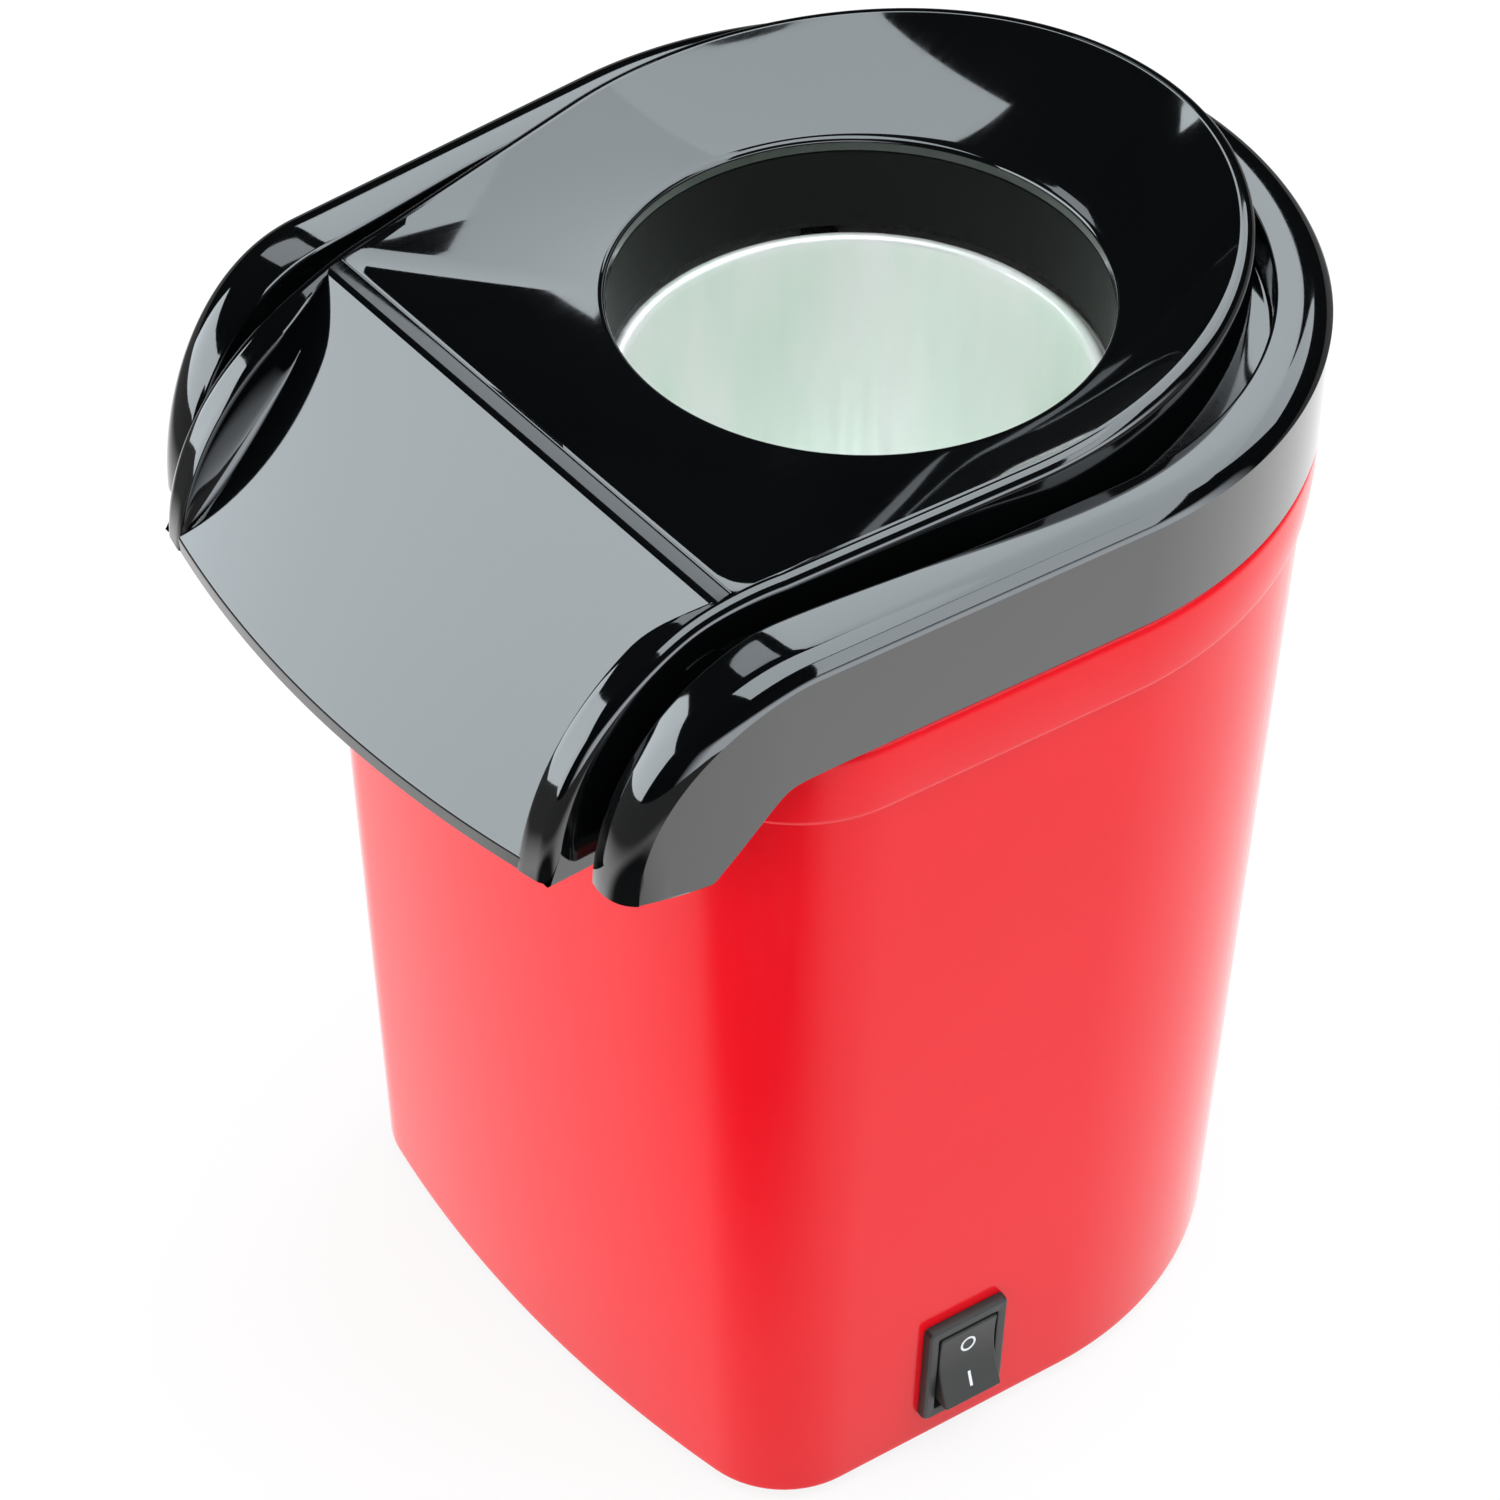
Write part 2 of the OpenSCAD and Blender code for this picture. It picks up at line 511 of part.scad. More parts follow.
// Throat round the filling hole with a window to the chute, and the chute's floor and sides
chute_w = 40;
chute_t = 2;
throat_t = 1.8;
chute_end = -73;
chute_out = 157;
throat_z = can_top + 1;
throat_top = hole_z - wall - gap;
module lid_chute() color(BLACK) placed() {
    difference() {
        union() {
            translate([0, 0, throat_z]) cylinder(r = hole_r + throat_t, h = throat_top - throat_z, $fn = 96);
            intersection() {
                translate([0, 0, chute_flange])
                    cylinder(r = lid_screw_reach + lid_boss_r + 1.5, h = flange_t, $fn = 96);
                translate([-60, -33, 0]) cube([120, 100, 200]);
            }
            rotate([90, 0, 90]) translate([0, 0, -chute_w - chute_t])
                linear_extrude(height = 2 * (chute_w + chute_t))
                polygon([[-30, throat_z], [-30, throat_z + 2], [-hole_r - 1, throat_z + 2],
                    [chute_end, chute_out],
                    [chute_end, chute_out - 2], [-hole_r - 1, throat_z]]);
            for (s = [-1, 1]) translate([s * (chute_w + 1) - 1, 0, 0]) rotate([90, 0, 90])
                linear_extrude(height = 2)
                    polygon([[-20, throat_z], [-20, throat_top - 1], [crease_y, throat_top - 1],
                        [chute_end, chute_out + 12], [chute_end, chute_out - 1], [-hole_r - 1, throat_z]]);
            translate([-chute_w - 1, -21.5, throat_z]) difference() {
                cube([2 * chute_w + 2, 1.5, throat_top - throat_z - 1]);
                translate([chute_w + 1 - hole_r, -1, -1]) cube([2 * hole_r, 4, 30]);
            }
        }
        translate([0, 0, throat_z - 5]) cylinder(r = hole_r, h = 40, $fn = 96);
        translate([-25, -60, throat_z + 2.2]) cube([50, 50, 10]);
        at(lid_screw_at) translate([0, 0, chute_flange - 1]) cylinder(r = screw_r + 0.2, h = 4, $fn = 24);
    }
}

module lid_screws() color(STEEL) placed() at(lid_screw_at) translate([0, 0, chute_flange]) mirror([0, 0, 1])
    screw(flange_t + lid_screw_l);

// ---- Inner deck and popping chamber ----
flange_r = can_r + can_t + 8;
chamber_screw_at = [for (a = [30, 150, 270]) (flange_r - 3.6) * [cos(a), sin(a)]];
deck_screw_l = 10;
module deck_plate() color(BLACK) placed() difference() {
    intersection() {
        translate([0, 0, deck_z]) linear_extrude(height = deck_t)
            polygon(body_ring(grow(deck_z) - deck_in));
        translate([-80, -46, deck_z]) cube([160, 140, deck_t]);
    }
    translate([0, 0, deck_z - 1]) cylinder(r = can_r + can_t + gap, h = deck_t + 2, $fn = 96);
    at(deck_at) translate([0, 0, deck_z - 1]) cylinder(r = screw_r + 0.2, h = deck_t + 2, $fn = 24);
    at(chamber_screw_at) translate([0, 0, deck_z - 1]) cylinder(r = screw_r, h = deck_t + 2, $fn = 24);
}

module deck_screws() color(STEEL) placed() at(deck_at) translate([0, 0, deck_top])
    screw(deck_t + deck_screw_l - 1);
module chamber_screws() color(STEEL) placed() at(chamber_screw_at) translate([0, 0, deck_top + can_t])
    screw(deck_t + 2);

// Drawn sheet cup with a rolled rim, a fixing flange, a domed floor and slanted air louvres
louvre_z = can_floor + 4;
module popping_chamber() color("#cfd6d2") placed() {
    r = can_r;
    t = can_t;
    difference() {
        rotate_extrude($fn = 96) polygon([
            [0, can_floor + 7], [12, can_floor + 6], [24, can_floor + 2.2], [r - 6, can_floor + 0.3],
            [r - 2.5, can_floor + 0.6], [r - 0.4, can_floor + 3], [r, can_floor + 8], [r, can_top - 1.2],
            [r + 0.3, can_top - 0.3], [r + 1, can_top], [r + 1.9, can_top - 0.4], [r + 2.2, can_top - 1.2],
            [r + 1.8, can_top - 2], [r + 1, can_top - 2.3], [r + t, can_top - 2.2], [r + t, deck_top + t],
            [flange_r, deck_top + t], [flange_r, deck_top], [r + t, deck_top], [r + t, can_floor + 8],
            [r + t - 0.4, can_floor + 2.6], [r - 2, can_floor - 0.2], [r - 6, can_floor - t + 0.3],
            [24, can_floor + 2.2 - t], [12, can_floor + 6 - t], [0, can_floor + 7 - t]]);
        for (i = [0:louvres - 1]) rotate([0, 0, i * 360 / louvres])
            translate([r - 3, -1.5, louvre_z]) cube([6, 3, louvre_h]);
        at(chamber_screw_at) translate([0, 0, deck_top - 1]) cylinder(r = screw_r + 0.2, h = 4, $fn = 24);
    }
    for (i = [0:louvres - 1]) rotate([0, 0, i * 360 / louvres]) translate([r + t / 2, 1.4, louvre_z])
        rotate([0, 0, -65]) translate([-0.3, -3.4, 0]) cube([0.6, 3.4, louvre_h]);
}

// ---- Heater ----
duct_t = 0.8;
duct_in = duct_r - duct_t;
module duct_ears(z, t) for (p = post_xy) {
    translate([p[0], p[1], z]) cylinder(r = post_r + 1, h = t, $fn = 32);
    translate([0, 0, z]) rotate([0, 0, atan2(p[1], p[0])]) translate([duct_r - 1, -post_r, 0])
        cube([norm(p) - duct_r + 1, 2 * post_r, t]);
}
module heater_duct() color(STEEL) placed() difference() {
    union() {
        rotate_extrude($fn = 96)
            polygon([[duct_in, fan_top], [duct_r + 2, fan_top], [duct_r + 2, fan_top + duct_t],
            [duct_r, fan_top + duct_t], [duct_r, duct_top], [can_r + can_t + gap, duct_top],
            [can_r + can_t + gap, duct_top - duct_t], [duct_in, duct_top - duct_t]]);
        duct_ears(fan_top, duct_t);
    }
    translate([0, 0, fan_top - 1]) cylinder(r = duct_in, h = duct_top - fan_top - duct_t + 1, $fn = 96);
    at(post_xy) translate([0, 0, fan_top - 1]) cylinder(r = screw_r + 0.2, h = 4, $fn = 24);
}
module duct_screws() color(STEEL) placed() at(post_xy) translate([0, 0, fan_top + duct_t]) screw(10);

// Two notched mica plates, halved together, carry the coil
mica_t = 1;
mica_h = can_floor - fan_top - 6;
mica_w = duct_in - gap;
coil_wire = 1.1;
coil_z0 = fan_top + 4;
coil_pitch = (mica_h - 9) / coil_turns;
module mica_plate(phase) difference() {
    translate([-mica_w, -mica_t / 2, fan_top]) cube([2 * mica_w, mica_t, mica_h]);
    for (i = [0:coil_turns - 1], s = [0, 1]) let (a = s * 180 + phase)
        translate([s == 0 ? coil_r : -coil_r, 0, coil_z0 + coil_pitch * (i + a / 360)])
            rotate([90, 0, 0]) cylinder(r = coil_wire + gap, h = 3 * mica_t, center = true, $fn = 24);
    for (s = [-1, 1]) translate([s * 18, 0, fan_top + mica_h / 2]) rotate([90, 0, 0])
        cylinder(r = 5, h = 3 * mica_t, center = true, $fn = 32);
}
module mica_plate_x() color("#d9cfae") placed() difference() {
    mica_plate(0);
    translate([-mica_t / 2 - gap / 2, -mica_t, fan_top - 1]) cube([mica_t + gap, 2 * mica_t, mica_h / 2 + 1]);
}
module mica_plate_y() color("#d9cfae") placed() rotate([0, 0, 90]) difference() {
    mica_plate(90);
    translate([-mica_t / 2 - gap / 2, -mica_t, fan_top + mica_h / 2])
        cube([mica_t + gap, 2 * mica_t, mica_h]);
}

// Round bar swept along points, each ring square to the path
module rod(path, r, sides = 8) {
    n = len(path);
    function dir(i) = unit(path[min(n - 1, i + 1)] - path[max(0, i - 1)]);
    function across(d) = unit(cross(d, abs(d[2]) > 0.9 ? [1, 0, 0] : [0, 0, 1]));
    rings = [for (i = [0:n - 1]) let (d = dir(i), u = across(d), v = cross(d, u))
        for (k = [0:sides - 1]) path[i] + r * (cos(360 * k / sides) * u + sin(360 * k / sides) * v)];
    polyhedron(points = rings, faces = concat(
        [[for (k = [0:sides - 1]) k]],
        [[for (k = [sides - 1:-1:0]) (n - 1) * sides + k]],
        [for (i = [0:n - 2], k = [0:sides - 1]) let (a = i * sides + k, b = i * sides + (k + 1) % sides) each
            [[a, a + sides, b + sides], [a, b + sides, b]]]));
}
module heating_coil() color("#8d8f92") placed() rod([for (i = [1:20 * coil_turns - 1]) let (a = 360 * i / 20)
    [coil_r * cos(a), coil_r * sin(a), coil_z0 + coil_pitch * a / 360]], coil_wire);

// ---- Controls on the duct ----
stat_z = 96;
module thermostat_bracket() color(STEEL) placed() difference() {
    translate([-9, duct_r - 3, stat_z - 8]) cube([18, 5, 16]);
    translate([0, 0, stat_z - 9]) cylinder(r = duct_r + gap / 3, h = 18, $fn = 96);
}
module thermostat() color("#d8d2c4") placed() translate([0, duct_r + 2, stat_z]) rotate([-90, 0, 0]) {
    cylinder(r = 7.8, h = 4, $fn = 48);
    translate([0, 0, 4]) cylinder(r = 6.4, h = 2.4, $fn = 48);
    for (s = [-1, 1]) translate([s * 4.5 - 1.6, -0.4, 6.4]) cube([3.2, 0.8, 5]);
}
module fuse_clip() color(STEEL) placed() rotate([0, 0, 90]) difference() {
    translate([-5, duct_r - 3, stat_z - 3.2]) cube([10, 7.6, 6.4]);
    translate([0, 0, stat_z - 4]) cylinder(r = duct_r + gap / 3, h = 8, $fn = 96);
    translate([-6, duct_r + 3, stat_z]) rotate([0, 90, 0]) cylinder(r = 2.1 + gap / 3, h = 12, $fn = 32);
    translate([-6, duct_r + 3, stat_z - 1]) cube([12, 3, 2]);
}
module thermal_fuse() color("#cbb98d") placed() rotate([0, 0, 90]) translate([-7.5, duct_r + 3, stat_z])
    rotate([0, 90, 0]) {
    cylinder(r = 2.1, h = 15, $fn = 32);
    translate([0, 0, -6]) cylinder(r = 0.5, h = 27, $fn = 16);
}

// ---- Blower ----
fan_wall_in = duct_in - 1.2;
fan_wall_out = duct_r + 2;
boss_r = 5;
motor_hole_at = [[8, 0], [-8, 0]];
module fan_housing() color(BLACK) placed() difference() {
    union() {
        rotate_extrude($fn = 96)
            polygon([[0, fan_floor], [fan_wall_out - 3, fan_floor], [fan_wall_out, fan_floor + 3],
            [fan_wall_out, fan_top], [fan_wall_in, fan_top], [fan_wall_in, fan_floor + 4],
            [fan_wall_in - 2, fan_floor + 2.5], [0, fan_floor + 2.5]]);
        duct_ears(post_top, fan_top - post_top - gap / 2);
    }
    translate([0, 0, fan_floor - 1]) cylinder(r = boss_r + gap, h = 5, $fn = 48);
    at(motor_hole_at) translate([0, 0, fan_floor - 1]) cylinder(r = screw_r + 0.2, h = 5, $fn = 24);
    for (a = [0:30:330]) rotate([0, 0, a]) translate([motor_r + 2.5, -2.6, fan_floor - 1])
        cube([10, 5.2, 5]);
    at(post_xy) translate([0, 0, fan_top - 4]) cylinder(r = screw_r + 0.2, h = 6, $fn = 24);
}

fan_z = fan_floor + 5;
fan_h = 7.5;
hub_r = 6;
// Disc with a hub and backward-curved blades
module impeller() color("#2b2d30") placed() difference() {
    union() {
        translate([0, 0, fan_z]) cylinder(r = fan_r, h = 1.2, $fn = 96);
        translate([0, 0, fan_z]) cylinder(r = hub_r, h = fan_h, $fn = 48);
        for (i = [0:blades - 1]) rotate([0, 0, i * 360 / blades]) translate([0, 0, fan_z + 1])
            linear_extrude(height = fan_h - 1) intersection() {
                translate([fan_r / 2 + 2, fan_r * 0.62]) difference() {
                    circle(r = fan_r * 0.75);
                    circle(r = fan_r * 0.75 - 1.2);
                }
                translate([0, -6]) square([fan_r, fan_r * 0.62 + 6]);
                circle(r = fan_r - 0.4);
            }
    }
    translate([0, 0, fan_z - 2]) cylinder(r = shaft_r, h = fan_h + 4, $fn = 32);
}
shaft_top = fan_z + fan_h + 5;
module impeller_nut() color(BRASS) placed() translate([0, 0, fan_z + fan_h]) difference() {
    cylinder(r = 3.6, h = 3.2, $fn = 6);
    translate([0, 0, -1]) cylinder(r = shaft_r, h = 6, $fn = 32);
}

// Motor: steel can with a front boss, hung under the fan housing's floor
motor_bottom = fan_floor - motor_len;
can_wall = 1.2;
bush_r = 3;
module motor_can() color(STEEL) placed() difference() {
    union() {
        translate([0, 0, motor_bottom]) cylinder(r = motor_r, h = motor_len, $fn = 72);
        translate([0, 0, fan_floor]) cylinder(r = boss_r, h = 2.2, $fn = 48);
    }
    translate([0, 0, motor_bottom - 1])
        cylinder(r = motor_r - can_wall, h = motor_len - can_wall + 1, $fn = 72);
    translate([0, 0, fan_floor - 3]) cylinder(r = bush_r, h = 6, $fn = 48);
    at(motor_hole_at) translate([0, 0, fan_floor - 3]) cylinder(r = screw_r, h = 4, $fn = 24);
}
module motor_screws() color(STEEL) placed() at(motor_hole_at) translate([0, 0, fan_floor + 2.5])
    scale(0.99) screw(4.4);
module front_bush() color(BRASS) placed() translate([0, 0, fan_floor - can_wall]) difference() {
    cylinder(r = bush_r, h = can_wall + 2.2, $fn = 48);
    translate([0, 0, -1]) cylinder(r = shaft_r + shaft_fit, h = 6, $fn = 32);
}
cap_h = 3;
cap_z = motor_bottom - cap_h;
module motor_end_cap() color("#e6e0d0") placed() difference() {
    union() {
        translate([0, 0, cap_z]) cylinder(r = motor_r, h = cap_h, $fn = 72);
        translate([0, 0, motor_bottom]) cylinder(r = motor_r - can_wall - gap / 3, h = 1.5, $fn = 72);
        for (s = [-1, 1]) translate([s * 9 - 2, -3.5, motor_bottom + 1]) cube([4, 7, 5.5]);
        for (s = [-1, 1]) translate([-1.6, s * 9.5 - 0.4, cap_z - 4.6]) cube([3.2, 0.8, 5]);
    }
    translate([0, 0, cap_z + 0.8]) cylinder(r = bush_r, h = 6, $fn = 48);
    translate([0, 0, cap_z - 1]) cylinder(r = shaft_r + 0.4, h = 6, $fn = 32);
    for (s = [-1, 1]) translate([s * 8 - 4, -2 - gap / 6, motor_bottom + 2]) cube([8, 4 + gap / 3, 3.6]);
}
module rear_bush() color(BRASS) placed() translate([0, 0, cap_z + 0.8]) difference() {
    cylinder(r = bush_r, h = cap_h + 0.5, $fn = 48);
    translate([0, 0, -1]) cylinder(r = shaft_r + shaft_fit, h = 6, $fn = 32);
}
module motor_shaft() color(STEEL) placed() translate([0, 0, cap_z + 0.4])
    cylinder(r = shaft_r, h = shaft_top - cap_z - 0.4, $fn = 32);

core_z = motor_bottom + 9;
core_h = fan_floor - can_wall - 3.5 - core_z;
core_r = motor_r - can_wall - 3.2 - 0.5;
arm_w = 2.2;
// Five-pole laminated core
module rotor_core() color("#6d7073") placed() difference() {
    union() {
        translate([0, 0, core_z]) cylinder(r = 3.4, h = core_h, $fn = 40);
        for (i = [0:4]) rotate([0, 0, i * 72]) translate([shaft_r + 0.9, -arm_w / 2, core_z])
            cube([core_r - shaft_r - 1.9, arm_w, core_h]);
        intersection() {
            difference() {
                translate([0, 0, core_z]) cylinder(r = core_r, h = core_h, $fn = 72);
                translate([0, 0, core_z - 1]) cylinder(r = core_r - 1.3, h = core_h + 2, $fn = 72);
            }
            for (i = [0:4]) rotate([0, 0, i * 72]) translate([0, -4.4, core_z]) cube([20, 8.8, core_h]);
        }
    }
    translate([0, 0, core_z - 1]) cylinder(r = shaft_r, h = core_h + 2, $fn = 32);
}
// A flat coil round each pole, with end turns above and below the core
module rotor_windings() color("#b5652b") placed() for (i = [0:4]) rotate([0, 0, i * 72]) difference() {
    translate([4, -2.2, core_z - 1.2]) cube([core_r - 6, 4.4, core_h + 2.4]);
    translate([3, -1.1 - gap / 6, core_z - gap / 6]) cube([core_r, 2.2 + gap / 3, core_h + gap / 3]);
}
module commutator() color(BRASS) placed() translate([0, 0, motor_bottom + 2]) difference() {
    cylinder(r = 3.8, h = 5, $fn = 48);
    translate([0, 0, -1]) cylinder(r = shaft_r, h = 7, $fn = 32);
    for (a = [0:72:288]) rotate([0, 0, a]) translate([3.2, -0.2, -1]) cube([2, 0.4, 7]);
}
module brush(s) color("#3a3a3c") placed() translate([0, 0, motor_bottom + 2.1]) difference() {
    translate([s > 0 ? 3 : -10.6, -2, 0]) cube([7.6, 4, 3.4]);
    translate([0, 0, -1]) cylinder(r = 3.8 + 0.15, h = 6, $fn = 48);
}
module magnet(s) color("#4b4d50") placed() translate([0, 0, core_z - 1]) intersection() {
    difference() {
        cylinder(r = motor_r - can_wall, h = core_h + 2, $fn = 72);
        translate([0, 0, -1]) cylinder(r = motor_r - can_wall - 3.2, h = core_h + 4, $fn = 72);
    }
    translate([s > 0 ? 3 : -23, -20, 0]) cube([20, 40, core_h + 2]);
}
board_z = cap_z - 4.2;
module rectifier_board() color("#3f6b3a") placed() difference() {
    translate([0, 0, board_z]) cylinder(r = motor_r - 1, h = 1.4, $fn = 64);
    translate([0, 0, board_z - 1]) cylinder(r = 3, h = 4, $fn = 32);
    for (s = [-1, 1]) translate([-1.6 - gap / 3, s * 9.5 - 0.4 - gap / 3, board_z - 1])
        cube([3.2 + 2 * gap / 3, 0.8 + 2 * gap / 3, 4]);
}
module rectifier_diodes() color("#232427") placed() for (s = [-1, 1], t = [-1, 1])
    translate([s * 7.5 - 2.4, t * 4.5, board_z + 1.4 + 1.25]) rotate([0, 90, 0]) {
        cylinder(r = 1.25, h = 4.8, $fn = 24);
        translate([0, 0, 3.6]) cylinder(r = 1.28, h = 0.5, $fn = 24);
    }

// ---- Base ----
// Plate with an air grille, sockets for the feet and tall posts under the blower
module base_plate() color(BLACK) placed() difference() {
    union() {
        translate([0, 0, base_z]) linear_extrude(height = base_t)
            polygon(body_ring(grow(base_z) - wall - gap - 0.1));
        at(post_xy) {
            translate([0, 0, base_top - 1]) cylinder(r = post_r, h = post_top - base_top + 1, $fn = 32);
            for (a = [0, 90]) rotate([0, 0, a]) translate([-post_r - 2.5, -0.8, base_top - 1])
                cube([2 * post_r + 5, 1.6, 16]);
        }
    }
    for (ring = [12, 20, 28], a = [0:45:315]) rotate([0, 0, a + (ring == 20 ? 22.5 : 0)]) intersection() {
        difference() {
            translate([0, 0, base_z - 1]) cylinder(r = ring + 1.6, h = base_t + 2, $fn = 72);
            translate([0, 0, base_z - 2]) cylinder(r = ring - 1.6, h = base_t + 4, $fn = 72);
        }
        rotate([0, 0, -17]) translate([0, 0, base_z - 1]) rotate_extrude(angle = 34, $fn = 72)
            translate([ring - 4, 0]) square([8, base_t + 2]);
    }
    at(base_screw_at) {
        translate([0, 0, base_z - 1]) cylinder(r = screw_r + 0.2, h = base_t + 2, $fn = 24);
        translate([0, 0, base_z - 1]) cylinder(r = head_r + gap, h = 2, $fn = 32);
    }
    at(foot_at) translate([0, 0, base_z - 1]) cylinder(r = foot_r + gap / 3, h = 2, $fn = 48);
    at(post_xy) translate([0, 0, post_top - 9]) cylinder(r = screw_r, h = 10, $fn = 24);
}
module base_screws() color(STEEL) placed() at(base_screw_at) translate([0, 0, base_z + 1]) mirror([0, 0, 1])
    screw(base_t + base_screw_l - 1);
module foot(i) color("#26282a") placed() translate([foot_at[i][0], foot_at[i][1], 0]) rotate_extrude($fn = 48)
    polygon([[0, 0], [foot_r - 1, 0], [foot_r - 0.3, 0.3], [foot_r, 1], [foot_r, base_z + 1],
        [0, base_z + 1]]);

// ---- Switch ----
bezel_t = 1.8;
switch_deep = 13;
pivot_x = -1.5;
pin_r = 1.2;
slot_w = switch_w - 4.4;
slot_l = switch_l - 5;
module switch_housing() color(BLACK) placed() at_switch() difference() {
    union() {
        translate([gap / 3, -switch_w / 2, -switch_l / 2]) cube([bezel_t, switch_w, switch_l]);
        translate([-switch_deep, -switch_w / 2 + 1.2, -switch_l / 2 + 1.2])
            cube([switch_deep + 1, switch_w - 2.4, switch_l - 2.4]);
    }
    translate([-switch_deep + 2, -slot_w / 2 - gap, -slot_l / 2 - gap])
        cube([30, slot_w + 2 * gap, slot_l + 2 * gap]);
    translate([pivot_x, 0, 0]) rotate([90, 0, 0])
        cylinder(r = pin_r, h = slot_w + 2, center = true, $fn = 32);
}
// Rocker with a shallow V face, lying with its upper half pressed in
rocker_h = slot_l / 2 - 0.8;
module rocker_profile() polygon([[bezel_t + 1.6, -rocker_h], [bezel_t + 0.3, 0], [bezel_t + 1.6, rocker_h],
    [bezel_t + 0.8, rocker_h + 0.2], [pivot_x + 1, rocker_h - 0.8], [pivot_x - 2.5, 2.5],
    [pivot_x - 2.5, -2.5], [pivot_x + 1, 0.8 - rocker_h], [bezel_t + 0.8, -rocker_h - 0.2]]);
module switch_rocker() color("#1b1d20") placed() at_switch() translate([pivot_x, 0, 0])
    rotate([0, -rocker_travel / 2, 0]) translate([-pivot_x, 0, 0]) {
        translate([0, slot_w / 2, 0]) rotate([90, 0, 0]) linear_extrude(height = slot_w) rocker_profile();
        translate([pivot_x, 0, 0]) rotate([90, 0, 0])
            cylinder(r = pin_r - 0.05, h = slot_w + 1.6, center = true, $fn = 32);
    }
module switch_terminals() color(BRASS) placed() at_switch() for (z = [-5.5, 5.5])
    translate([-switch_deep - 7, -2.4, z - 0.4]) difference() {
        cube([7, 4.8, 0.8]);
        translate([2.2, 2.4, -1]) cylinder(r = 0.8, h = 3, $fn = 24);
    }

// ---- Cord inlet ----
module cord_gland() color(BLACK) placed() translate([0, inlet_y, inlet_z]) rotate([-90, 0, 0]) difference() {
    union() {
        translate([0, 0, -wall - 6]) cylinder(r = gland_r, h = wall + 7, $fn = 48);
        translate([0, 0, 1.5 * gap]) rotate_extrude($fn = 48)
            polygon([[0, 0], [gland_r + 2, 0], [gland_r + 2, 1.2], [gland_r + 1, 2.4], [0, 2.4]]);
    }
    translate([0, 0, -20]) cylinder(r = inlet_r, h = 40, $fn = 48);
}
module gland_nut() color(BLACK) placed() translate([0, inlet_y - wall - 4.4, inlet_z])
    rotate([-90, 0, 0]) difference() {
    cylinder(r = gland_r + 2.6, h = 3, $fn = 6);
    translate([0, 0, -1]) cylinder(r = gland_r + gap / 3, h = 5, $fn = 48);
}

body_shell();
lid_cover();
lid_chute();
lid_screws();
deck_plate();
deck_screws();
popping_chamber();
chamber_screws();
heater_duct();
duct_screws();
mica_plate_x();
mica_plate_y();
heating_coil();
thermostat();
thermostat_bracket();
thermal_fuse();
fuse_clip();
fan_housing();
impeller();
impeller_nut();
motor_can();
motor_screws();
motor_end_cap();
front_bush();
rear_bush();
motor_shaft();
rotor_core();
rotor_windings();
commutator();
brush(-1);  // brush_left
brush(1);  // brush_right
magnet(-1);  // magnet_left
magnet(1);  // magnet_right
rectifier_board();
rectifier_diodes();
base_plate();
base_screws();
foot(0);  // foot_1
foot(1);  // foot_2
foot(2);  // foot_3
foot(3);  // foot_4
switch_housing();
switch_rocker();
switch_terminals();
cord_gland();
gland_nut();
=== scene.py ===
# %% [markdown]
# # A hot-air popcorn maker, dressed
# The engineering model already holds every piece at its real size. This script loads it as a
# fixed frame and gives it its looks. The glossy mouldings that the eye rests on are modelled
# again with finer rounds, and every other piece keeps its solid and gets a finish of its own.

# %% Load the frame
import json
import math

import bmesh
import bpy
import numpy as np
from mathutils import Matrix, Vector


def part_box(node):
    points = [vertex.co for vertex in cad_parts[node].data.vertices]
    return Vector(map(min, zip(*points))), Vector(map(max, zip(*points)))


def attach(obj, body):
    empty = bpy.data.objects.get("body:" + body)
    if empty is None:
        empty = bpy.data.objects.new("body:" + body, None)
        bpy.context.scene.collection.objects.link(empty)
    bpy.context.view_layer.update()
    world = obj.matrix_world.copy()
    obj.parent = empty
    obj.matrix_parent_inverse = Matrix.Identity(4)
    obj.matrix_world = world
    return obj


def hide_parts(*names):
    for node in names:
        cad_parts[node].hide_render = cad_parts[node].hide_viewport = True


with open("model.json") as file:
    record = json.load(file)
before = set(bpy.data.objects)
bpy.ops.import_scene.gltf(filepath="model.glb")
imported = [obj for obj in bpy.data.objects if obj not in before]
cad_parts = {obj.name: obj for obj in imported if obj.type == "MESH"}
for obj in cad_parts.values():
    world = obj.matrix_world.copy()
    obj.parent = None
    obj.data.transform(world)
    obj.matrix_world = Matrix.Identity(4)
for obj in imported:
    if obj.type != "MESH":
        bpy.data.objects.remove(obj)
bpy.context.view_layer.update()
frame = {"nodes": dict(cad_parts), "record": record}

# %% [markdown]
# ## Units and the working axis
# The moulded pieces are drawn in millimetres about the axis of the popping chamber, because the
# filling hole, the throat and the chamber share it. One function moves such points into the
# frame. The alternative, working in metres from the frame's origin, would hide these round
# numbers.

# %% Millimetres about the chamber's axis
MM = 0.001
chamber_low, chamber_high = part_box("popping_chamber")
AXIS_Y = (chamber_low.y + chamber_high.y) / 2 / MM


def place(points):
    """Points in millimetres about the chamber's axis, as metres in the frame."""
    moved = np.array(points, float)
    moved[..., 1] += AXIS_Y
    return moved * MM


print(f"the chamber's axis stands {AXIS_Y:.2f} mm behind the frame's origin")

# %% [markdown]
# ## Camera
# A long lens a little under a metre away looks down on the front right corner. It is the first
# thing made, because every later choice of light is judged through it. A tracking constraint
# would do as well, but writing the camera's own axes also gives the slight roll.

# %% Camera
CAMERA_AT = Vector((485.04, -398.78 + AXIS_Y, 663.85)) * MM
CAMERA_LOOKS_AT = Vector((0, -19.41 + AXIS_Y, 102.8)) * MM
CAMERA_ROLL = math.radians(-0.67)
SENSOR = 36.0
LENS = 130.58

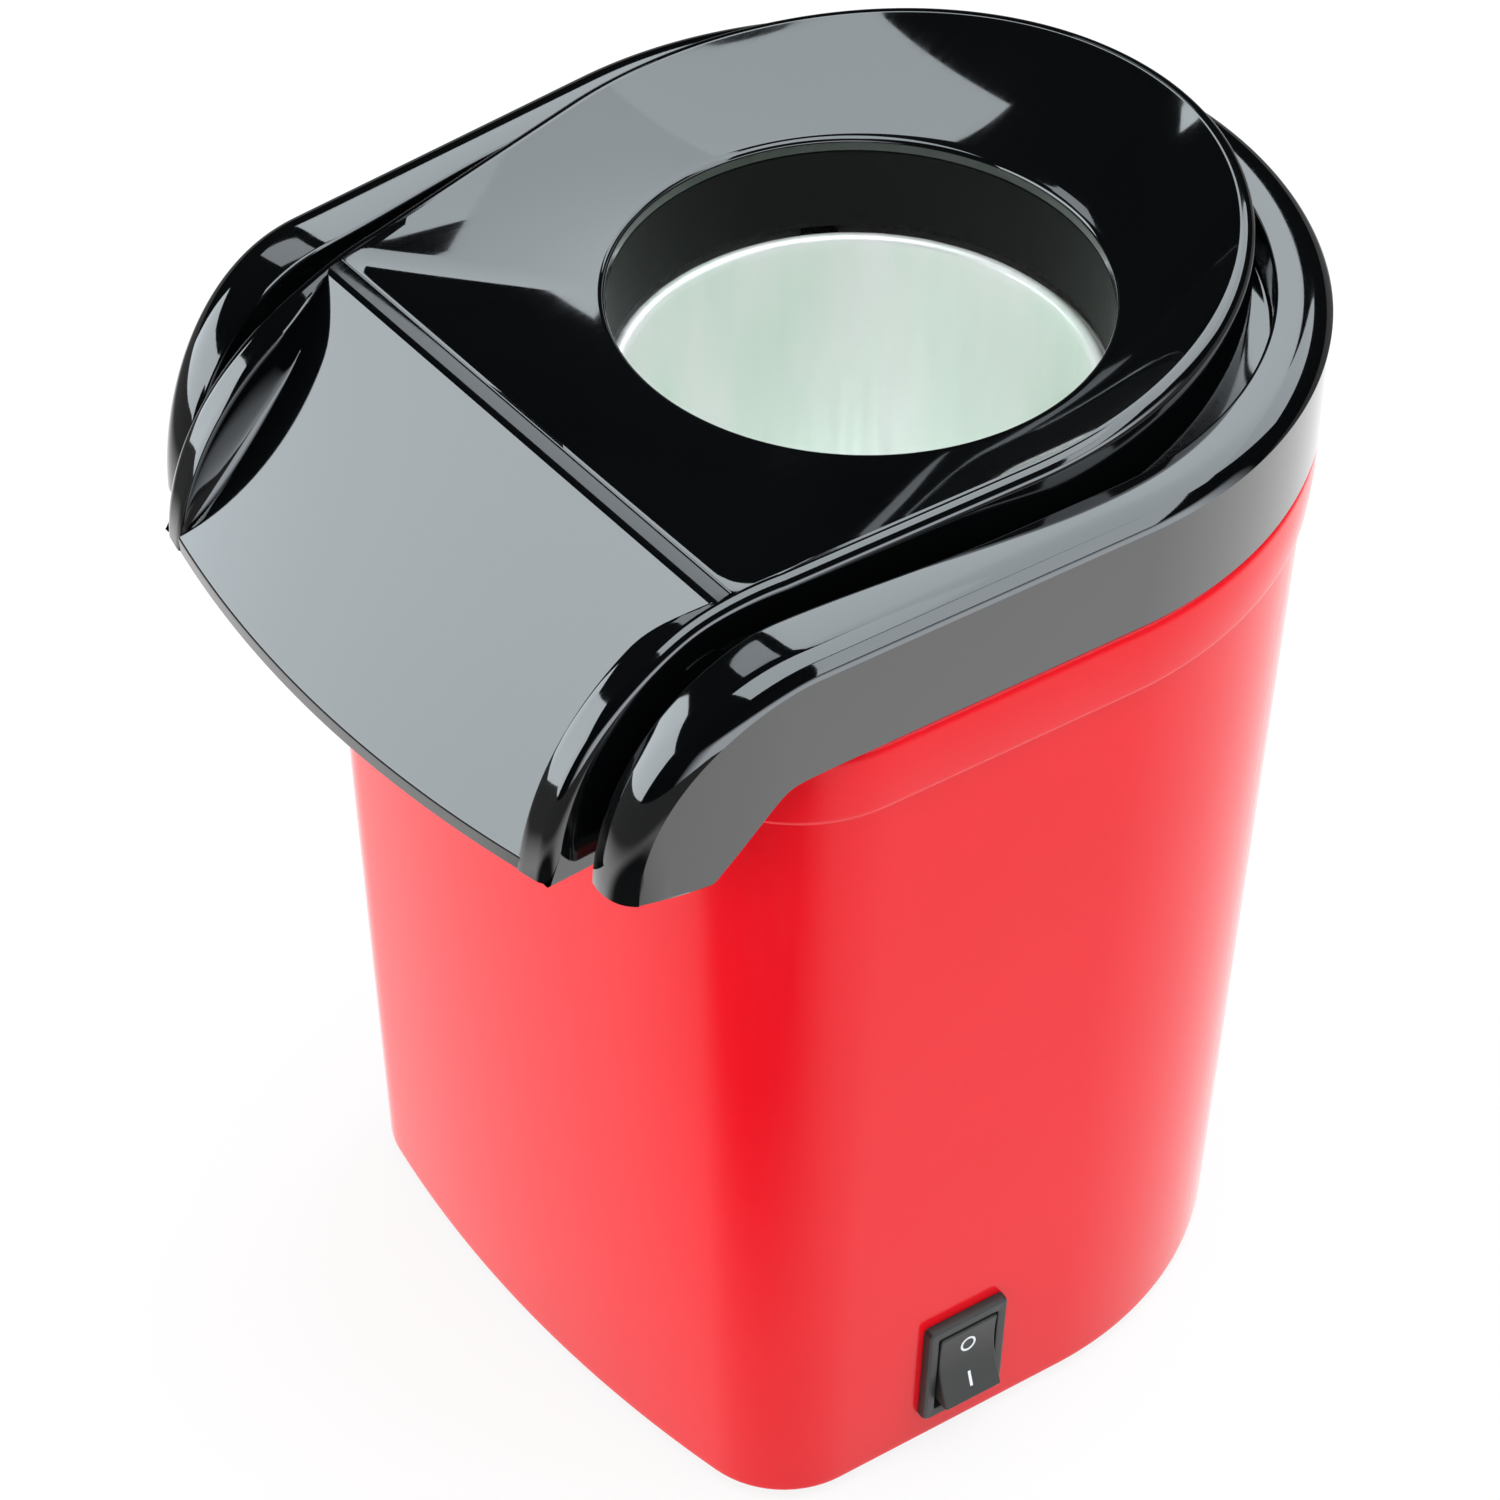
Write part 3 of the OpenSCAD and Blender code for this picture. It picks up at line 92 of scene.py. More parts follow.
look = (CAMERA_LOOKS_AT - CAMERA_AT).normalized()
right = look.cross(Vector((0, 0, 1))).normalized()
down = look.cross(right)
right, down = (right * math.cos(CAMERA_ROLL) + down * math.sin(CAMERA_ROLL),
               down * math.cos(CAMERA_ROLL) - right * math.sin(CAMERA_ROLL))
camera_data = bpy.data.cameras.new("camera")
camera_data.sensor_width = SENSOR
camera_data.lens = LENS
camera_data.clip_end = 50
camera = bpy.data.objects.new("camera", camera_data)
camera.matrix_world = Matrix((
    (right.x, -down.x, -look.x, CAMERA_AT.x),
    (right.y, -down.y, -look.y, CAMERA_AT.y),
    (right.z, -down.z, -look.z, CAMERA_AT.z),
    (0, 0, 0, 1)))
bpy.context.scene.collection.objects.link(camera)
bpy.context.scene.camera = camera
print(f"camera {(CAMERA_LOOKS_AT - CAMERA_AT).length:.3f} m from its target")

# %% [markdown]
# ## Node trees
# World, floor and finishes are all small node trees, so one function adds a node with its values
# and its links. Writing each socket by hand would be plainer at first and much longer in the end.

# %% One function for every node
def add_node(tree, kind, inputs=(), **settings):
    """A shader node; an input given as a node or a socket is linked, anything else is its value."""
    node = tree.nodes.new("ShaderNode" + kind)
    for name, value in settings.items():
        setattr(node, name, value)
    for key, value in dict(inputs).items():
        if isinstance(value, bpy.types.Node):
            value = value.outputs[0]
        if isinstance(value, bpy.types.NodeSocket):
            tree.links.new(value, node.inputs[key])
        else:
            node.inputs[key].default_value = value
    return node


def empty_tree(owner):
    """The node tree of a world or a material, with nothing in it."""
    owner.use_nodes = True
    owner.node_tree.nodes.clear()
    return owner.node_tree


print("nodes can be added")

# %% [markdown]
# ## Studio
# Gloss black plastic shows little but its reflections, so the lamps are placed for what they draw
# on the lid: a wide box overhead, strips behind and beside it, and one low box at the front left
# that fills the hood's ramp. The dark gap between them gives the black line along the crease. A
# small spot lights the metal down in the hole. The world is white to the eye and an even grey
# fill to matt surfaces; a mirror sees it dark, except low on the right.

# %% Lamps
LID_HEIGHT = 0.185
LAMP_AWAY = 1.3
COOL = (0.86, 0.95, 1.0)
lid_point = Vector((0, AXIS_Y * MM, LID_HEIGHT))


def softbox(name, toward, centre, size, radiance, turn=0.0):
    """A rectangular lamp on a plane that faces the lid, in the direction toward.

    centre and size are in units of the plane's distance, and turn spins the lamp in its plane.
    """
    toward = Vector(toward).normalized()
    up = Vector((0, 1, 0)) if toward.z > 0.9 else Vector((0, 0, 1))
    across = up.cross(toward)
    lamp = bpy.data.lights.new(name, "AREA")
    lamp.shape = "RECTANGLE"
    lamp.size = size[0] * LAMP_AWAY
    lamp.size_y = size[1] * LAMP_AWAY
    lamp.color = COOL
    lamp.energy = radiance * math.pi * lamp.size * lamp.size_y
    obj = bpy.data.objects.new(name, lamp)
    turn = math.radians(turn)
    side = across * math.cos(turn) + up * math.sin(turn)
    top = up * math.cos(turn) - across * math.sin(turn)
    at = lid_point + (toward + across * centre[0] + up * centre[1]) * LAMP_AWAY
    obj.matrix_world = Matrix(((side.x, top.x, toward.x, at.x), (side.y, top.y, toward.y, at.y),
                               (side.z, top.z, toward.z, at.z), (0, 0, 0, 1)))
    bpy.context.scene.collection.objects.link(obj)
    return obj


OVERHEAD = (0, 0, 1)
FRONT_LEFT = (-0.743, -0.669, 0)
SPOT_FROM = (0.16, -0.26, 0.48)
softbox("overhead box", OVERHEAD, (0.19, 0.02), (0.86, 0.96), 3.3)
softbox("rear strip", OVERHEAD, (-0.315, 0.75), (1.87, 0.50), 2.9)
softbox("rear box", OVERHEAD, (-0.08, 1.42), (1.16, 0.84), 2.6)
softbox("rear right strip", OVERHEAD, (1.56, 0.90), (1.95, 0.44), 2.9, turn=16)
softbox("left box", OVERHEAD, (-0.82, 0.10), (0.24, 0.46), 1.8)
softbox("front left box", FRONT_LEFT, (0.29, 0.28), (1.14, 0.62), 4.0)

# A small spot looks down the hole and lights the dull metal. Gloss surfaces don't mirror it.
spot_data = bpy.data.lights.new("hole spot", "SPOT")
spot_data.energy = 8.5
spot_data.spot_size = math.radians(12)
spot_data.spot_blend = 0.5
spot_data.shadow_soft_size = 0.03
hole_spot = bpy.data.objects.new("hole spot", spot_data)
hole_spot.location = lid_point + Vector(SPOT_FROM)
hole_spot.rotation_euler = (lid_point - hole_spot.location).to_track_quat("-Z", "Y").to_euler()
hole_spot.visible_glossy = False
bpy.context.scene.collection.objects.link(hole_spot)

# %% World
WHITE = (1.0, 1.0, 1.0, 1.0)
FILL = (0.72, 0.72, 0.72, 1.0)
SKY = ((0.24, (2.6, 2.8, 3.0, 1)), (0.34, (0.006, 0.007, 0.008, 1)))


def build_world():
    """White to the eye, an even grey to matt surfaces, and a graded sky to a mirror."""
    world = bpy.data.worlds.new("studio")
    bpy.context.scene.world = world
    tree = empty_tree(world)
    rays = add_node(tree, "LightPath").outputs
    way = add_node(tree, "TexCoord").outputs["Generated"]
    split = add_node(tree, "SeparateXYZ", {0: way}).outputs
    ramp = add_node(tree, "ValToRGB", {0: split["Z"]})
    for element, (position, colour) in zip(ramp.color_ramp.elements, SKY):
        element.position = position
        element.color = colour
    side = add_node(tree, "MapRange", {"Value": split["X"], "From Min": 0.55, "From Max": 0.8})
    mirrored = add_node(tree, "Background", {"Color": ramp, "Strength": side})
    fill = add_node(tree, "Background", {"Color": FILL})
    seen = add_node(tree, "Background", {"Color": WHITE})
    inner = add_node(tree, "MixShader", {0: rays["Is Glossy Ray"], 1: fill, 2: mirrored})
    direct = add_node(tree, "Math", {0: rays["Is Camera Ray"], 1: rays["Is Transmission Ray"]},
                      operation="MAXIMUM")
    add_node(tree, "OutputWorld", {0: add_node(tree, "MixShader", {0: direct, 1: inner, 2: seen})})


build_world()
bpy.context.scene.view_settings.view_transform = "Standard"
print("world:", bpy.context.scene.world.name)

# %% [markdown]
# ## Floor
# A pale matt sheet carries the object and keeps its soft shadow. Where the eye looks at it, part of
# its light is plain white, so that the background stays white without more lamps on the object. A
# mirror sees it as a white glow of painted strength: a painted pool of light by the feet, dim far
# off, and a painted shadow by the front corner. A cyclorama would need a horizon, which this high
# view never shows.

# %% Floor
FLOOR_SIZE = 12.0
FLOOR_CELLS = 12
FLOOR_WHITE_SHARE = 0.86
# Where the painted shadow of the object lies in the floor's reflection, by the front corner, in
# metres.
PAINTED_SHADOW_SPOT = (0.12, -0.215)


def painted_floor_reflection(tree):
    """Painted reflection of the floor: a painted pool of light by the feet, dim far off, and a
    painted shadow by the front corner.
    """
    where = add_node(tree, "NewGeometry").outputs["Position"]

    def by_distance(centre, near, far, light_near, light_far):
        away = add_node(tree, "VectorMath", {0: where, 1: (*centre, 0)}, operation="DISTANCE")
        return add_node(tree, "MapRange", {"Value": away.outputs["Value"],
                                           "From Min": near, "From Max": far,
                                           "To Min": light_near, "To Max": light_far},
                        interpolation_type="SMOOTHSTEP")

    # A painted shadow round the front corner, times a painted pool of light round the feet that
    # dims far off.
    return add_node(tree, "Math", {0: by_distance(PAINTED_SHADOW_SPOT, 0.10, 0.19, 0.03, 1.2),
                                   1: by_distance((0, 0), 0.27, 0.52, 1.0, 0.12)},
                    operation="MULTIPLY")


def build_floor():
    grid = np.linspace(-FLOOR_SIZE / 2, FLOOR_SIZE / 2, FLOOR_CELLS + 1)
    row = FLOOR_CELLS + 1
    faces = [(j * row + i, j * row + i + 1, (j + 1) * row + i + 1, (j + 1) * row + i)
             for j in range(FLOOR_CELLS) for i in range(FLOOR_CELLS)]
    mesh = bpy.data.meshes.new("floor")
    mesh.from_pydata([(x, y, 0) for y in grid for x in grid], [], faces)
    floor = bpy.data.objects.new("floor", mesh)
    bpy.context.scene.collection.objects.link(floor)
    paper = bpy.data.materials.new("pale paper")
    tree = empty_tree(paper)
    rays = add_node(tree, "LightPath").outputs
    matt = add_node(tree, "BsdfDiffuse", {"Color": (0.80, 0.80, 0.80, 1)})
    glow = add_node(tree, "Emission", {"Color": WHITE})
    # Mirrors see only this painted glow, not the floor's own shading.
    mirrored = add_node(tree, "Emission", {"Strength": painted_floor_reflection(tree)})
    seen = add_node(tree, "Math", {0: rays["Is Camera Ray"], 1: FLOOR_WHITE_SHARE},
                    operation="MULTIPLY")
    by_eye = add_node(tree, "MixShader", {0: seen, 1: matt, 2: glow})
    by_mirror = add_node(tree, "MixShader", {0: rays["Is Glossy Ray"], 1: by_eye, 2: mirrored})
    add_node(tree, "OutputMaterial", {0: by_mirror})
    mesh.materials.append(paper)


build_floor()
print("floor:", FLOOR_SIZE, "m across")

# %% [markdown]
# ## Finishes: the common groundwork
# Every finish is a Principled shader fed by a few noise nodes in object space, so that grain and
# gloss keep their real scale on every piece and stay put when a piece moves. Image maps would
# need unwrapped surfaces, which the solids don't have. Small helpers hold the wiring that all of
# them share.


# %% Helpers for finishes
def new_finish(name, colour, roughness, metallic=0.0):
    """A Principled material with constant values on its own sockets, its tree and its shader."""
    material = bpy.data.materials.new(name)
    material.use_nodes = True
    shader = material.node_tree.nodes["Principled BSDF"]
    shader.inputs["Base Color"].default_value = (*colour, 1)
    shader.inputs["Roughness"].default_value = roughness
    shader.inputs["Metallic"].default_value = metallic
    material.diffuse_color = (*colour, 1)
    return material, material.node_tree, shader


def object_space(tree):
    return add_node(tree, "TexCoord").outputs["Object"]


def stretched_noise(tree, scale, stretch=(1, 1, 1), detail=3.0, rough=0.5):
    """Noise in object space: scale is in cells for each metre, stretch thins it along an axis."""
    mapping = add_node(tree, "Mapping", {"Vector": object_space(tree), "Scale": stretch})
    return add_node(tree, "TexNoise", {"Vector": mapping, "Scale": scale, "Detail": detail,
                                       "Roughness": rough})


def cell_tones(tree, scale):
    """Cells in object space, and a grey tone that differs from cell to cell."""
    cells = add_node(tree, "TexVoronoi", {"Vector": object_space(tree), "Scale": scale})
    return cells, add_node(tree, "RGBToBW", {0: cells.outputs["Color"]})


def waves(tree, direction, scale, distortion=0.0):
    """Even waves along one axis of object space."""
    return add_node(tree, "TexWave", {"Vector": object_space(tree), "Scale": scale,
                                      "Distortion": distortion}, bands_direction=direction)


def spread(tree, source, low, high, from_low=0.3, from_high=0.7):
    """Maps a value to a range."""
    return add_node(tree, "MapRange", {"Value": source, "From Min": from_low,
                                       "From Max": from_high, "To Min": low, "To Max": high})


def rough_by(tree, shader, source, low, high, from_low=0.3, from_high=0.7):
    """Lets the roughness follow a value."""
    level = spread(tree, source, low, high, from_low, from_high)
    tree.links.new(level.outputs[0], shader.inputs["Roughness"])


def drift(tree, shader, source, first, second, from_low=0.3, from_high=0.7):
    """Lets the base colour drift between two close colours."""
    share = spread(tree, source, 0.0, 1.0, from_low, from_high)
    mix = add_node(tree, "Mix", {0: share, 6: (*first, 1), 7: (*second, 1)}, data_type="RGBA")
    tree.links.new(mix.outputs[2], shader.inputs["Base Color"])


def bump(tree, shader, source, height_mm, strength):
    """Bump of a real height."""
    relief = add_node(tree, "Bump", {"Strength": strength, "Distance": height_mm * MM,
                                     "Height": source})
    tree.links.new(relief.outputs[0], shader.inputs["Normal"])


def worn_edges(tree, shader, plain, bare):
    """Roughness that rises a little on outer edges, where hands and cloths rub."""
    edge = add_node(tree, "NewGeometry").outputs["Pointiness"]
    mix = add_node(tree, "Mix", {0: spread(tree, edge, 0.0, 0.5, 0.52, 0.60), 2: plain, 3: bare})
    tree.links.new(mix.outputs[0], shader.inputs["Roughness"])


print("helpers for finishes are ready")

# %% [markdown]
# ## Gloss mouldings
# The housing and the lid are injection mouldings from a polished tool. Such a surface is not a
# perfect mirror: it has a very shallow orange peel, a haze of hairline wipe marks and a little
# colour drift in the pigment. The black one is a denser, harder gloss, so it also gets a clear
# coat layer. The throat is the same moulding grade from an unpolished tool.


# %% Gloss plastics
def gloss_moulding(name, colour, shade, gloss, haze, specular, coat):
    """gloss and haze are the roughness of clean and of wiped places."""
    material, tree, shader = new_finish(name, colour, gloss)
    drift(tree, shader, stretched_noise(tree, 22, detail=2.0), colour, shade)
    wipe = stretched_noise(tree, 900, stretch=(1, 0.06, 0.06), detail=6.0, rough=0.7)
    worn_edges(tree, shader, spread(tree, wipe, gloss, haze, 0.42, 0.75), haze * 1.6)
    bump(tree, shader, stretched_noise(tree, 260, detail=1.0), 0.004, 0.35)
    shader.inputs["Specular IOR Level"].default_value = specular
    shader.inputs["Coat Weight"].default_value = coat
    shader.inputs["Coat Roughness"].default_value = 0.02
    return material


red_shell = gloss_moulding("red shell", (0.79, 0.0045, 0.013), (0.76, 0.0035, 0.010),
                           gloss=0.12, haze=0.20, specular=0.24, coat=0.0)
black_gloss = gloss_moulding("black gloss", (0.0014, 0.0017, 0.0020), (0.0022, 0.0025, 0.0028),
                             gloss=0.045, haze=0.085, specular=1.0, coat=0.55)
throat_black = gloss_moulding("throat black", (0.0020, 0.0022, 0.0019), (0.0032, 0.0034, 0.0030),
                              gloss=0.30, haze=0.40, specular=0.16, coat=0.0)
print("gloss finishes:", [m.name for m in (red_shell, black_gloss, throat_black)])

# %% [markdown]
# ## Matt plastics, rubber and print
# The inner mouldings, the switch frame and the grommets come from a spark-eroded tool, which
# leaves an even fine grain. One function makes them all, with the grain's size and depth as its
# values. The marks on the rocker are white pad print, slightly raised and a little uneven.


# %% Matt plastics
def grained(name, colour, shade, roughness, grain_mm, depth_mm):
    material, tree, shader = new_finish(name, colour, roughness)
    drift(tree, shader, stretched_noise(tree, 60), colour, shade)
    grain = stretched_noise(tree, 1 / (grain_mm * MM), detail=4.0, rough=0.6)
    rough_by(tree, shader, grain, roughness * 0.88, min(1.0, roughness * 1.12))
    bump(tree, shader, grain, depth_mm, 0.8)
    return material


black_matt = grained("black matt", (0.018, 0.018, 0.019), (0.024, 0.024, 0.026), 0.55, 0.25, 0.02)
switch_black = grained("switch black", (0.017, 0.018, 0.017), (0.023, 0.024, 0.022), 0.46, 0.24,
                       0.015)
rubber = grained("rubber", (0.022, 0.022, 0.023), (0.030, 0.029, 0.029), 0.82, 0.35, 0.03)
ceramic = grained("ceramic", (0.62, 0.58, 0.48), (0.70, 0.66, 0.56), 0.38, 0.5, 0.012)
carbon = grained("carbon", (0.025, 0.025, 0.027), (0.045, 0.045, 0.05), 0.6, 0.2, 0.02)
white_print = grained("white print", (0.80, 0.84, 0.86), (0.70, 0.75, 0.78), 0.5, 0.25, 0.01)
print("matt finishes: 6")


# %% [markdown]
# ## Metals
# The popping chamber is drawn from aluminium sheet. Drawing leaves fine streaks along the wall,
# and the mill finish keeps faint cloudy tints. The streaks are noise that is stretched along the
# axis, so they run straight up the round wall. The plated steels, brass and wires are made the
# same way with their own colours, and the laminated core gets its fine rings.


# %% Metals
def drawn_metal(name, colour, shade, low, high, streak_mm, along, depth_mm, cloud, metallic):
    """Metal with streaks of the given width that run along Z."""
    material, tree, shader = new_finish(name, colour, (low + high) / 2, metallic)
    tint = stretched_noise(tree, cloud, stretch=(1, 1, 0.25))
    drift(tree, shader, tint, colour, shade, 0.35, 0.65)
    streaks = stretched_noise(tree, 1 / (streak_mm * MM), stretch=(1, 1, along), detail=5.0,
                              rough=0.65)
    rough_by(tree, shader, streaks, low, high)
    bump(tree, shader, streaks, depth_mm, 0.6)
    return material


def speckled_metal(name, colour, shade, low, high, cell_mm):
    """Metal with small plated or cast cells that differ in tone."""
    material, tree, shader = new_finish(name, colour, (low + high) / 2, 1.0)
    _, tone = cell_tones(tree, 1 / (cell_mm * MM))
    drift(tree, shader, tone, colour, shade, 0.2, 0.8)
    fine = stretched_noise(tree, 2500)
    rough_by(tree, shader, fine, low, high)
    bump(tree, shader, fine, 0.004, 0.6)
    return material


def layered_metal(name, colour, shade, pitch_mm, roughness):
    """Stacked or wound metal: fine rings across Z."""
    material, tree, shader = new_finish(name, colour, roughness, 1.0)
    rings = waves(tree, "Z", 0.314 / (pitch_mm * MM), 0.4).outputs["Fac"]
    drift(tree, shader, rings, colour, shade, 0.1, 0.9)
    rough_by(tree, shader, rings, roughness, roughness + 0.12, 0, 1)
    bump(tree, shader, rings, 0.05, 0.7)
    return material


chamber_aluminium = drawn_metal("chamber aluminium", (0.84, 0.93, 0.85), (0.98, 0.97, 0.96),
                                0.30, 0.62, streak_mm=1.6, along=0.03, depth_mm=0.005, cloud=60,
                                metallic=0.6)
plated_steel = speckled_metal("plated steel", (0.52, 0.53, 0.55), (0.62, 0.62, 0.63), 0.28, 0.45,
                              3.0)
screw_steel = speckled_metal("screw steel", (0.58, 0.58, 0.60), (0.66, 0.66, 0.66), 0.25, 0.40, 0.8)
brass = speckled_metal("brass", (0.70, 0.50, 0.22), (0.62, 0.42, 0.17), 0.25, 0.45, 1.2)
resistance_wire = speckled_metal("resistance wire", (0.22, 0.21, 0.22), (0.34, 0.30, 0.27), 0.45,
                                 0.65, 2.5)


dark_steel = layered_metal("dark steel", (0.20, 0.20, 0.21), (0.30, 0.30, 0.31), 0.5, 0.4)
copper = layered_metal("enamelled copper", (0.50, 0.20, 0.09), (0.62, 0.28, 0.13), 0.35, 0.25)
print("metal finishes: 7")


# %% [markdown]
# ## Mica and circuit board
# Mica is pressed from thin flakes, so its tone changes from flake to flake with soft silvery
# glints. The board has a glossy solder mask over a fine glass weave. Cell noise serves for the
# flakes and two crossed waves for the weave.


# %% Mica and board
def mica_sheet():
    material, tree, shader = new_finish("mica", (0.62, 0.52, 0.34), 0.35)
    flakes, tone = cell_tones(tree, 350)
    drift(tree, shader, tone, (0.55, 0.45, 0.28), (0.72, 0.63, 0.45), 0.1, 0.9)
    rough_by(tree, shader, tone, 0.22, 0.5, 0, 1)
    bump(tree, shader, flakes.outputs["Distance"], 0.03, 0.5)
    return material


def circuit_board():
    material, tree, shader = new_finish("board green", (0.04, 0.14, 0.04), 0.3)
    warp, weft = (waves(tree, direction, 500).outputs["Fac"] for direction in "XY")
    weave = add_node(tree, "Math", {0: warp, 1: weft}, operation="MULTIPLY")
    drift(tree, shader, weave, (0.035, 0.12, 0.035), (0.05, 0.17, 0.05), 0, 1)
    bump(tree, shader, weave, 0.02, 0.5)
    return material


mica = mica_sheet()
board_green = circuit_board()
print("mica and board are ready")

# %% [markdown]
# ## Mesh helpers
# The mouldings are thin shells. Each is described by two grids of points, one for the outside and
# one for the inside, with matching rows and columns; a single function skins both and closes the
# rims. Boolean cuts would be quicker to write but leave ragged shading on such glossy surfaces.


# %% Shell and piece builders
WELD = 0.002 * MM


def shell(outer, inner, wrap):
    """A closed shell between two grids of rows; wrap joins the last column to the first."""
    rows, cols = len(outer), len(outer[0])
    base, end = rows * cols, (rows - 1) * cols
    faces = []
    for j in range(cols if wrap else cols - 1):
        k = (j + 1) % cols
        for i in range(0, end, cols):
            faces.append((i + j, i + cols + j, i + cols + k, i + k))
            faces.append((base + i + j, base + i + k, base + i + cols + k, base + i + cols + j))
        faces.append((j, k, base + k, base + j))
        faces.append((end + j, base + end + j, base + end + k, end + k))
    if not wrap:
        faces += [(i + j, base + i + j, base + i + cols + j, i + cols + j)
                  for i in range(0, end, cols) for j in (0, cols - 1)]
    return np.concatenate([*outer, *inner]), faces


def clean_mesh(name, points, faces):
    """A mesh in the frame from points in millimetres, welded and with its faces turned outward."""
    mesh = bpy.data.meshes.new(name)
    mesh.from_pydata(place(points).tolist(), [], faces)
    work = bmesh.new()
    work.from_mesh(mesh)
    bmesh.ops.remove_doubles(work, verts=work.verts, dist=WELD)
    bmesh.ops.dissolve_degenerate(work, edges=work.edges, dist=WELD)
    bmesh.ops.recalc_face_normals(work, faces=work.faces)
    work.to_mesh(mesh)
    work.free()
    return mesh


def make_piece(name, points, faces, finish, body, slot, sharp=35.0):
    """A closed mesh that rides on a body. Edges that turn more than sharp degrees stay crisp."""
    mesh = clean_mesh(name, points, faces)
    mesh.shade_smooth()
    mesh.set_sharp_from_angle(angle=math.radians(sharp))
    mesh.materials.append(finish)
    obj = bpy.data.objects.new(name, mesh)
    bpy.context.scene.collection.objects.link(obj)
    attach(obj, body)
    print(f"{name}: {len(mesh.polygons)} faces")
    return obj


def lathe(profile, steps):
    """A closed section of (radius, height) points turned about Z; radius 0 closes on the axis."""
    count = len(profile)
    points = [(r * math.cos(2 * math.pi * k / steps), r * math.sin(2 * math.pi * k / steps), z)
              for k in range(steps) for r, z in profile]
    faces = []
    for k in range(steps):
        a, b = k * count, ((k + 1) % steps) * count
        for i in range(count):
            j = (i + 1) % count
            if profile[i][0] > 0 or profile[j][0] > 0:
                faces.append((a + i, b + i, b + j, a + j))
    return points, faces


def stack(rings):
    """Closed solid through a stack of equal rings, with flat ends."""
    count = len(rings[0])
    faces = [(i + j, i + (j + 1) % count, i + count + (j + 1) % count, i + count + j)
             for i in range(0, (len(rings) - 1) * count, count) for j in range(count)]
    faces.append(tuple(reversed(range(count))))
    faces.append(tuple(range((len(rings) - 1) * count, len(rings) * count)))
    return [point for ring_points in rings for point in ring_points], faces


def join_parts(parts):
    """Several (points, faces) pairs as one."""
    points, faces = [], []
    for part_points, part_faces in parts:
        faces += [tuple(len(points) + i for i in face) for face in part_faces]
        points += [tuple(point) for point in part_points]
    return points, faces


def clamp(f):
    return min(1.0, max(0.0, f))


def smooth_step(f):
    t = np.clip(f, 0, 1)
    return t * t * (3 - 2 * t)


def blend_of(a, b, f):
    return a * (1 - f) + b * f


def arc(centre, radii, start, end, count):
    """Rows of (x, y, outward x, outward y) along an ellipse, from one angle to another."""
    rows = []
    for a in np.linspace(start, end, count + 1):
        c, n = math.cos(a), math.sin(a)
        out = np.array([c / radii[0], n / radii[1]])
        out /= np.linalg.norm(out)
        rows.append((centre[0] + radii[0] * c, centre[1] + radii[1] * n, *out))
    return rows


print("shells, lathes, stacks and arcs can be made")

# %% [markdown]
# ## The D plan
# Housing and lid share one outline seen from above: a round rear, two straight sides that close
# in towards the front, rounded front corners and a slightly bowed front. It is worked out from
# radii and widths, with an outward direction at each point, so that walls, ridges and edge rounds
# are all offsets of one curve.


# %% Plan curve
def d_plan(half_w, reach, centre_y, front_w, front_y, bow, corner_r, steps=(132, 14, 14, 26)):
    """Points and outward directions round the D, counter-clockwise from the right rear."""
    rear_n, side_n, corner_n, front_n = steps
    slope = math.atan2(half_w - front_w, centre_y - front_y)
    front_r = (front_w ** 2 + bow ** 2) / (2 * bow)
    front_c = front_y - bow + front_r
    out = np.array([math.cos(slope), -math.sin(slope)])
    along = np.array([-math.sin(slope), -math.cos(slope)])
    start = np.array([half_w * math.cos(slope), centre_y - reach * math.sin(slope)])
    u = start - out * corner_r - np.array([0, front_c])
    b = 2 * along @ u
    t = (-b + math.sqrt(b * b - 4 * (u @ u - (front_r - corner_r) ** 2))) / 2
    x, y = start - out * corner_r + along * t
    meet = math.atan2(y - front_c, x)
    end = np.array([x, y]) + out * corner_r
    side = [(*blend_of(end, start, i / (side_n + 1)), *out) for i in range(1, side_n + 1)]
    corner = arc((x, y), (corner_r, corner_r), meet, -slope, corner_n)
    rows = arc((0, centre_y), (half_w, reach), -slope, math.pi + slope, rear_n)
    rows += [(-px, py, -nx, ny) for px, py, nx, ny in reversed(corner + side)]
    rows += arc((0, front_c), (front_r, front_r), math.pi - meet, 2 * math.pi + meet, front_n)[1:-1]
    rows = np.array(rows + corner + side)
    return rows[:, :2], rows[:, 2:]


WALL = 2.2
BODY_W = 59.2
REAR_Y = 2.0
SIDE_LENGTH = 58.0
SIDE_IN = 3.5
CORNER_R = 16.0
FRONT_BOW = 6.8
DRAFT = math.radians(2.28)
BODY_FOOT = 2.0
BODY_TOP = 164.2
RIDGE_OUT = 0.7
SIDE_SLOPE = math.atan2(SIDE_IN, SIDE_LENGTH)
body_plan, body_out = d_plan(BODY_W, BODY_W, REAR_Y, BODY_W - SIDE_IN, REAR_Y - SIDE_LENGTH,
                             FRONT_BOW, CORNER_R)
print("plan points:", len(body_plan))

# %% [markdown]
# ## Red housing
# The housing is one deep moulding with a draft of a little over two degrees, a rounded foot, a
# moulded line near the top with a slightly fuller band above it, and a notch in the front edge
# for the chute. The line is a real step with small rounds, because it must catch the light, and a
# bump map would vanish along the silhouette. The slot for the switch and the hole for the cord
# are cut last.

# %% Housing shell
HOOD_W = 47.5
FRONT_CUT = 9.7
NOTCH_Y = REAR_Y - SIDE_LENGTH + CORNER_R / 4
NOTCH_W = HOOD_W + 1.2
FOOT_ROUND = 1.0
RIDGE_LOW = 151.1
RIDGE_RISE = 1.2
CUFF_LOW = 152.4
WALL_HEIGHTS = [*range(4, 31, 2), 34, *range(40, 131, 15), 142, 148, 150, 150.8]


def grow(z):
    return (z - BODY_FOOT) * math.tan(DRAFT)


def ring(offset, z):
    """The plan at an offset and a height; z may be a number or one height for each point."""
    xy = body_plan + body_out * offset
    return np.column_stack([xy, np.broadcast_to(z, len(xy))])


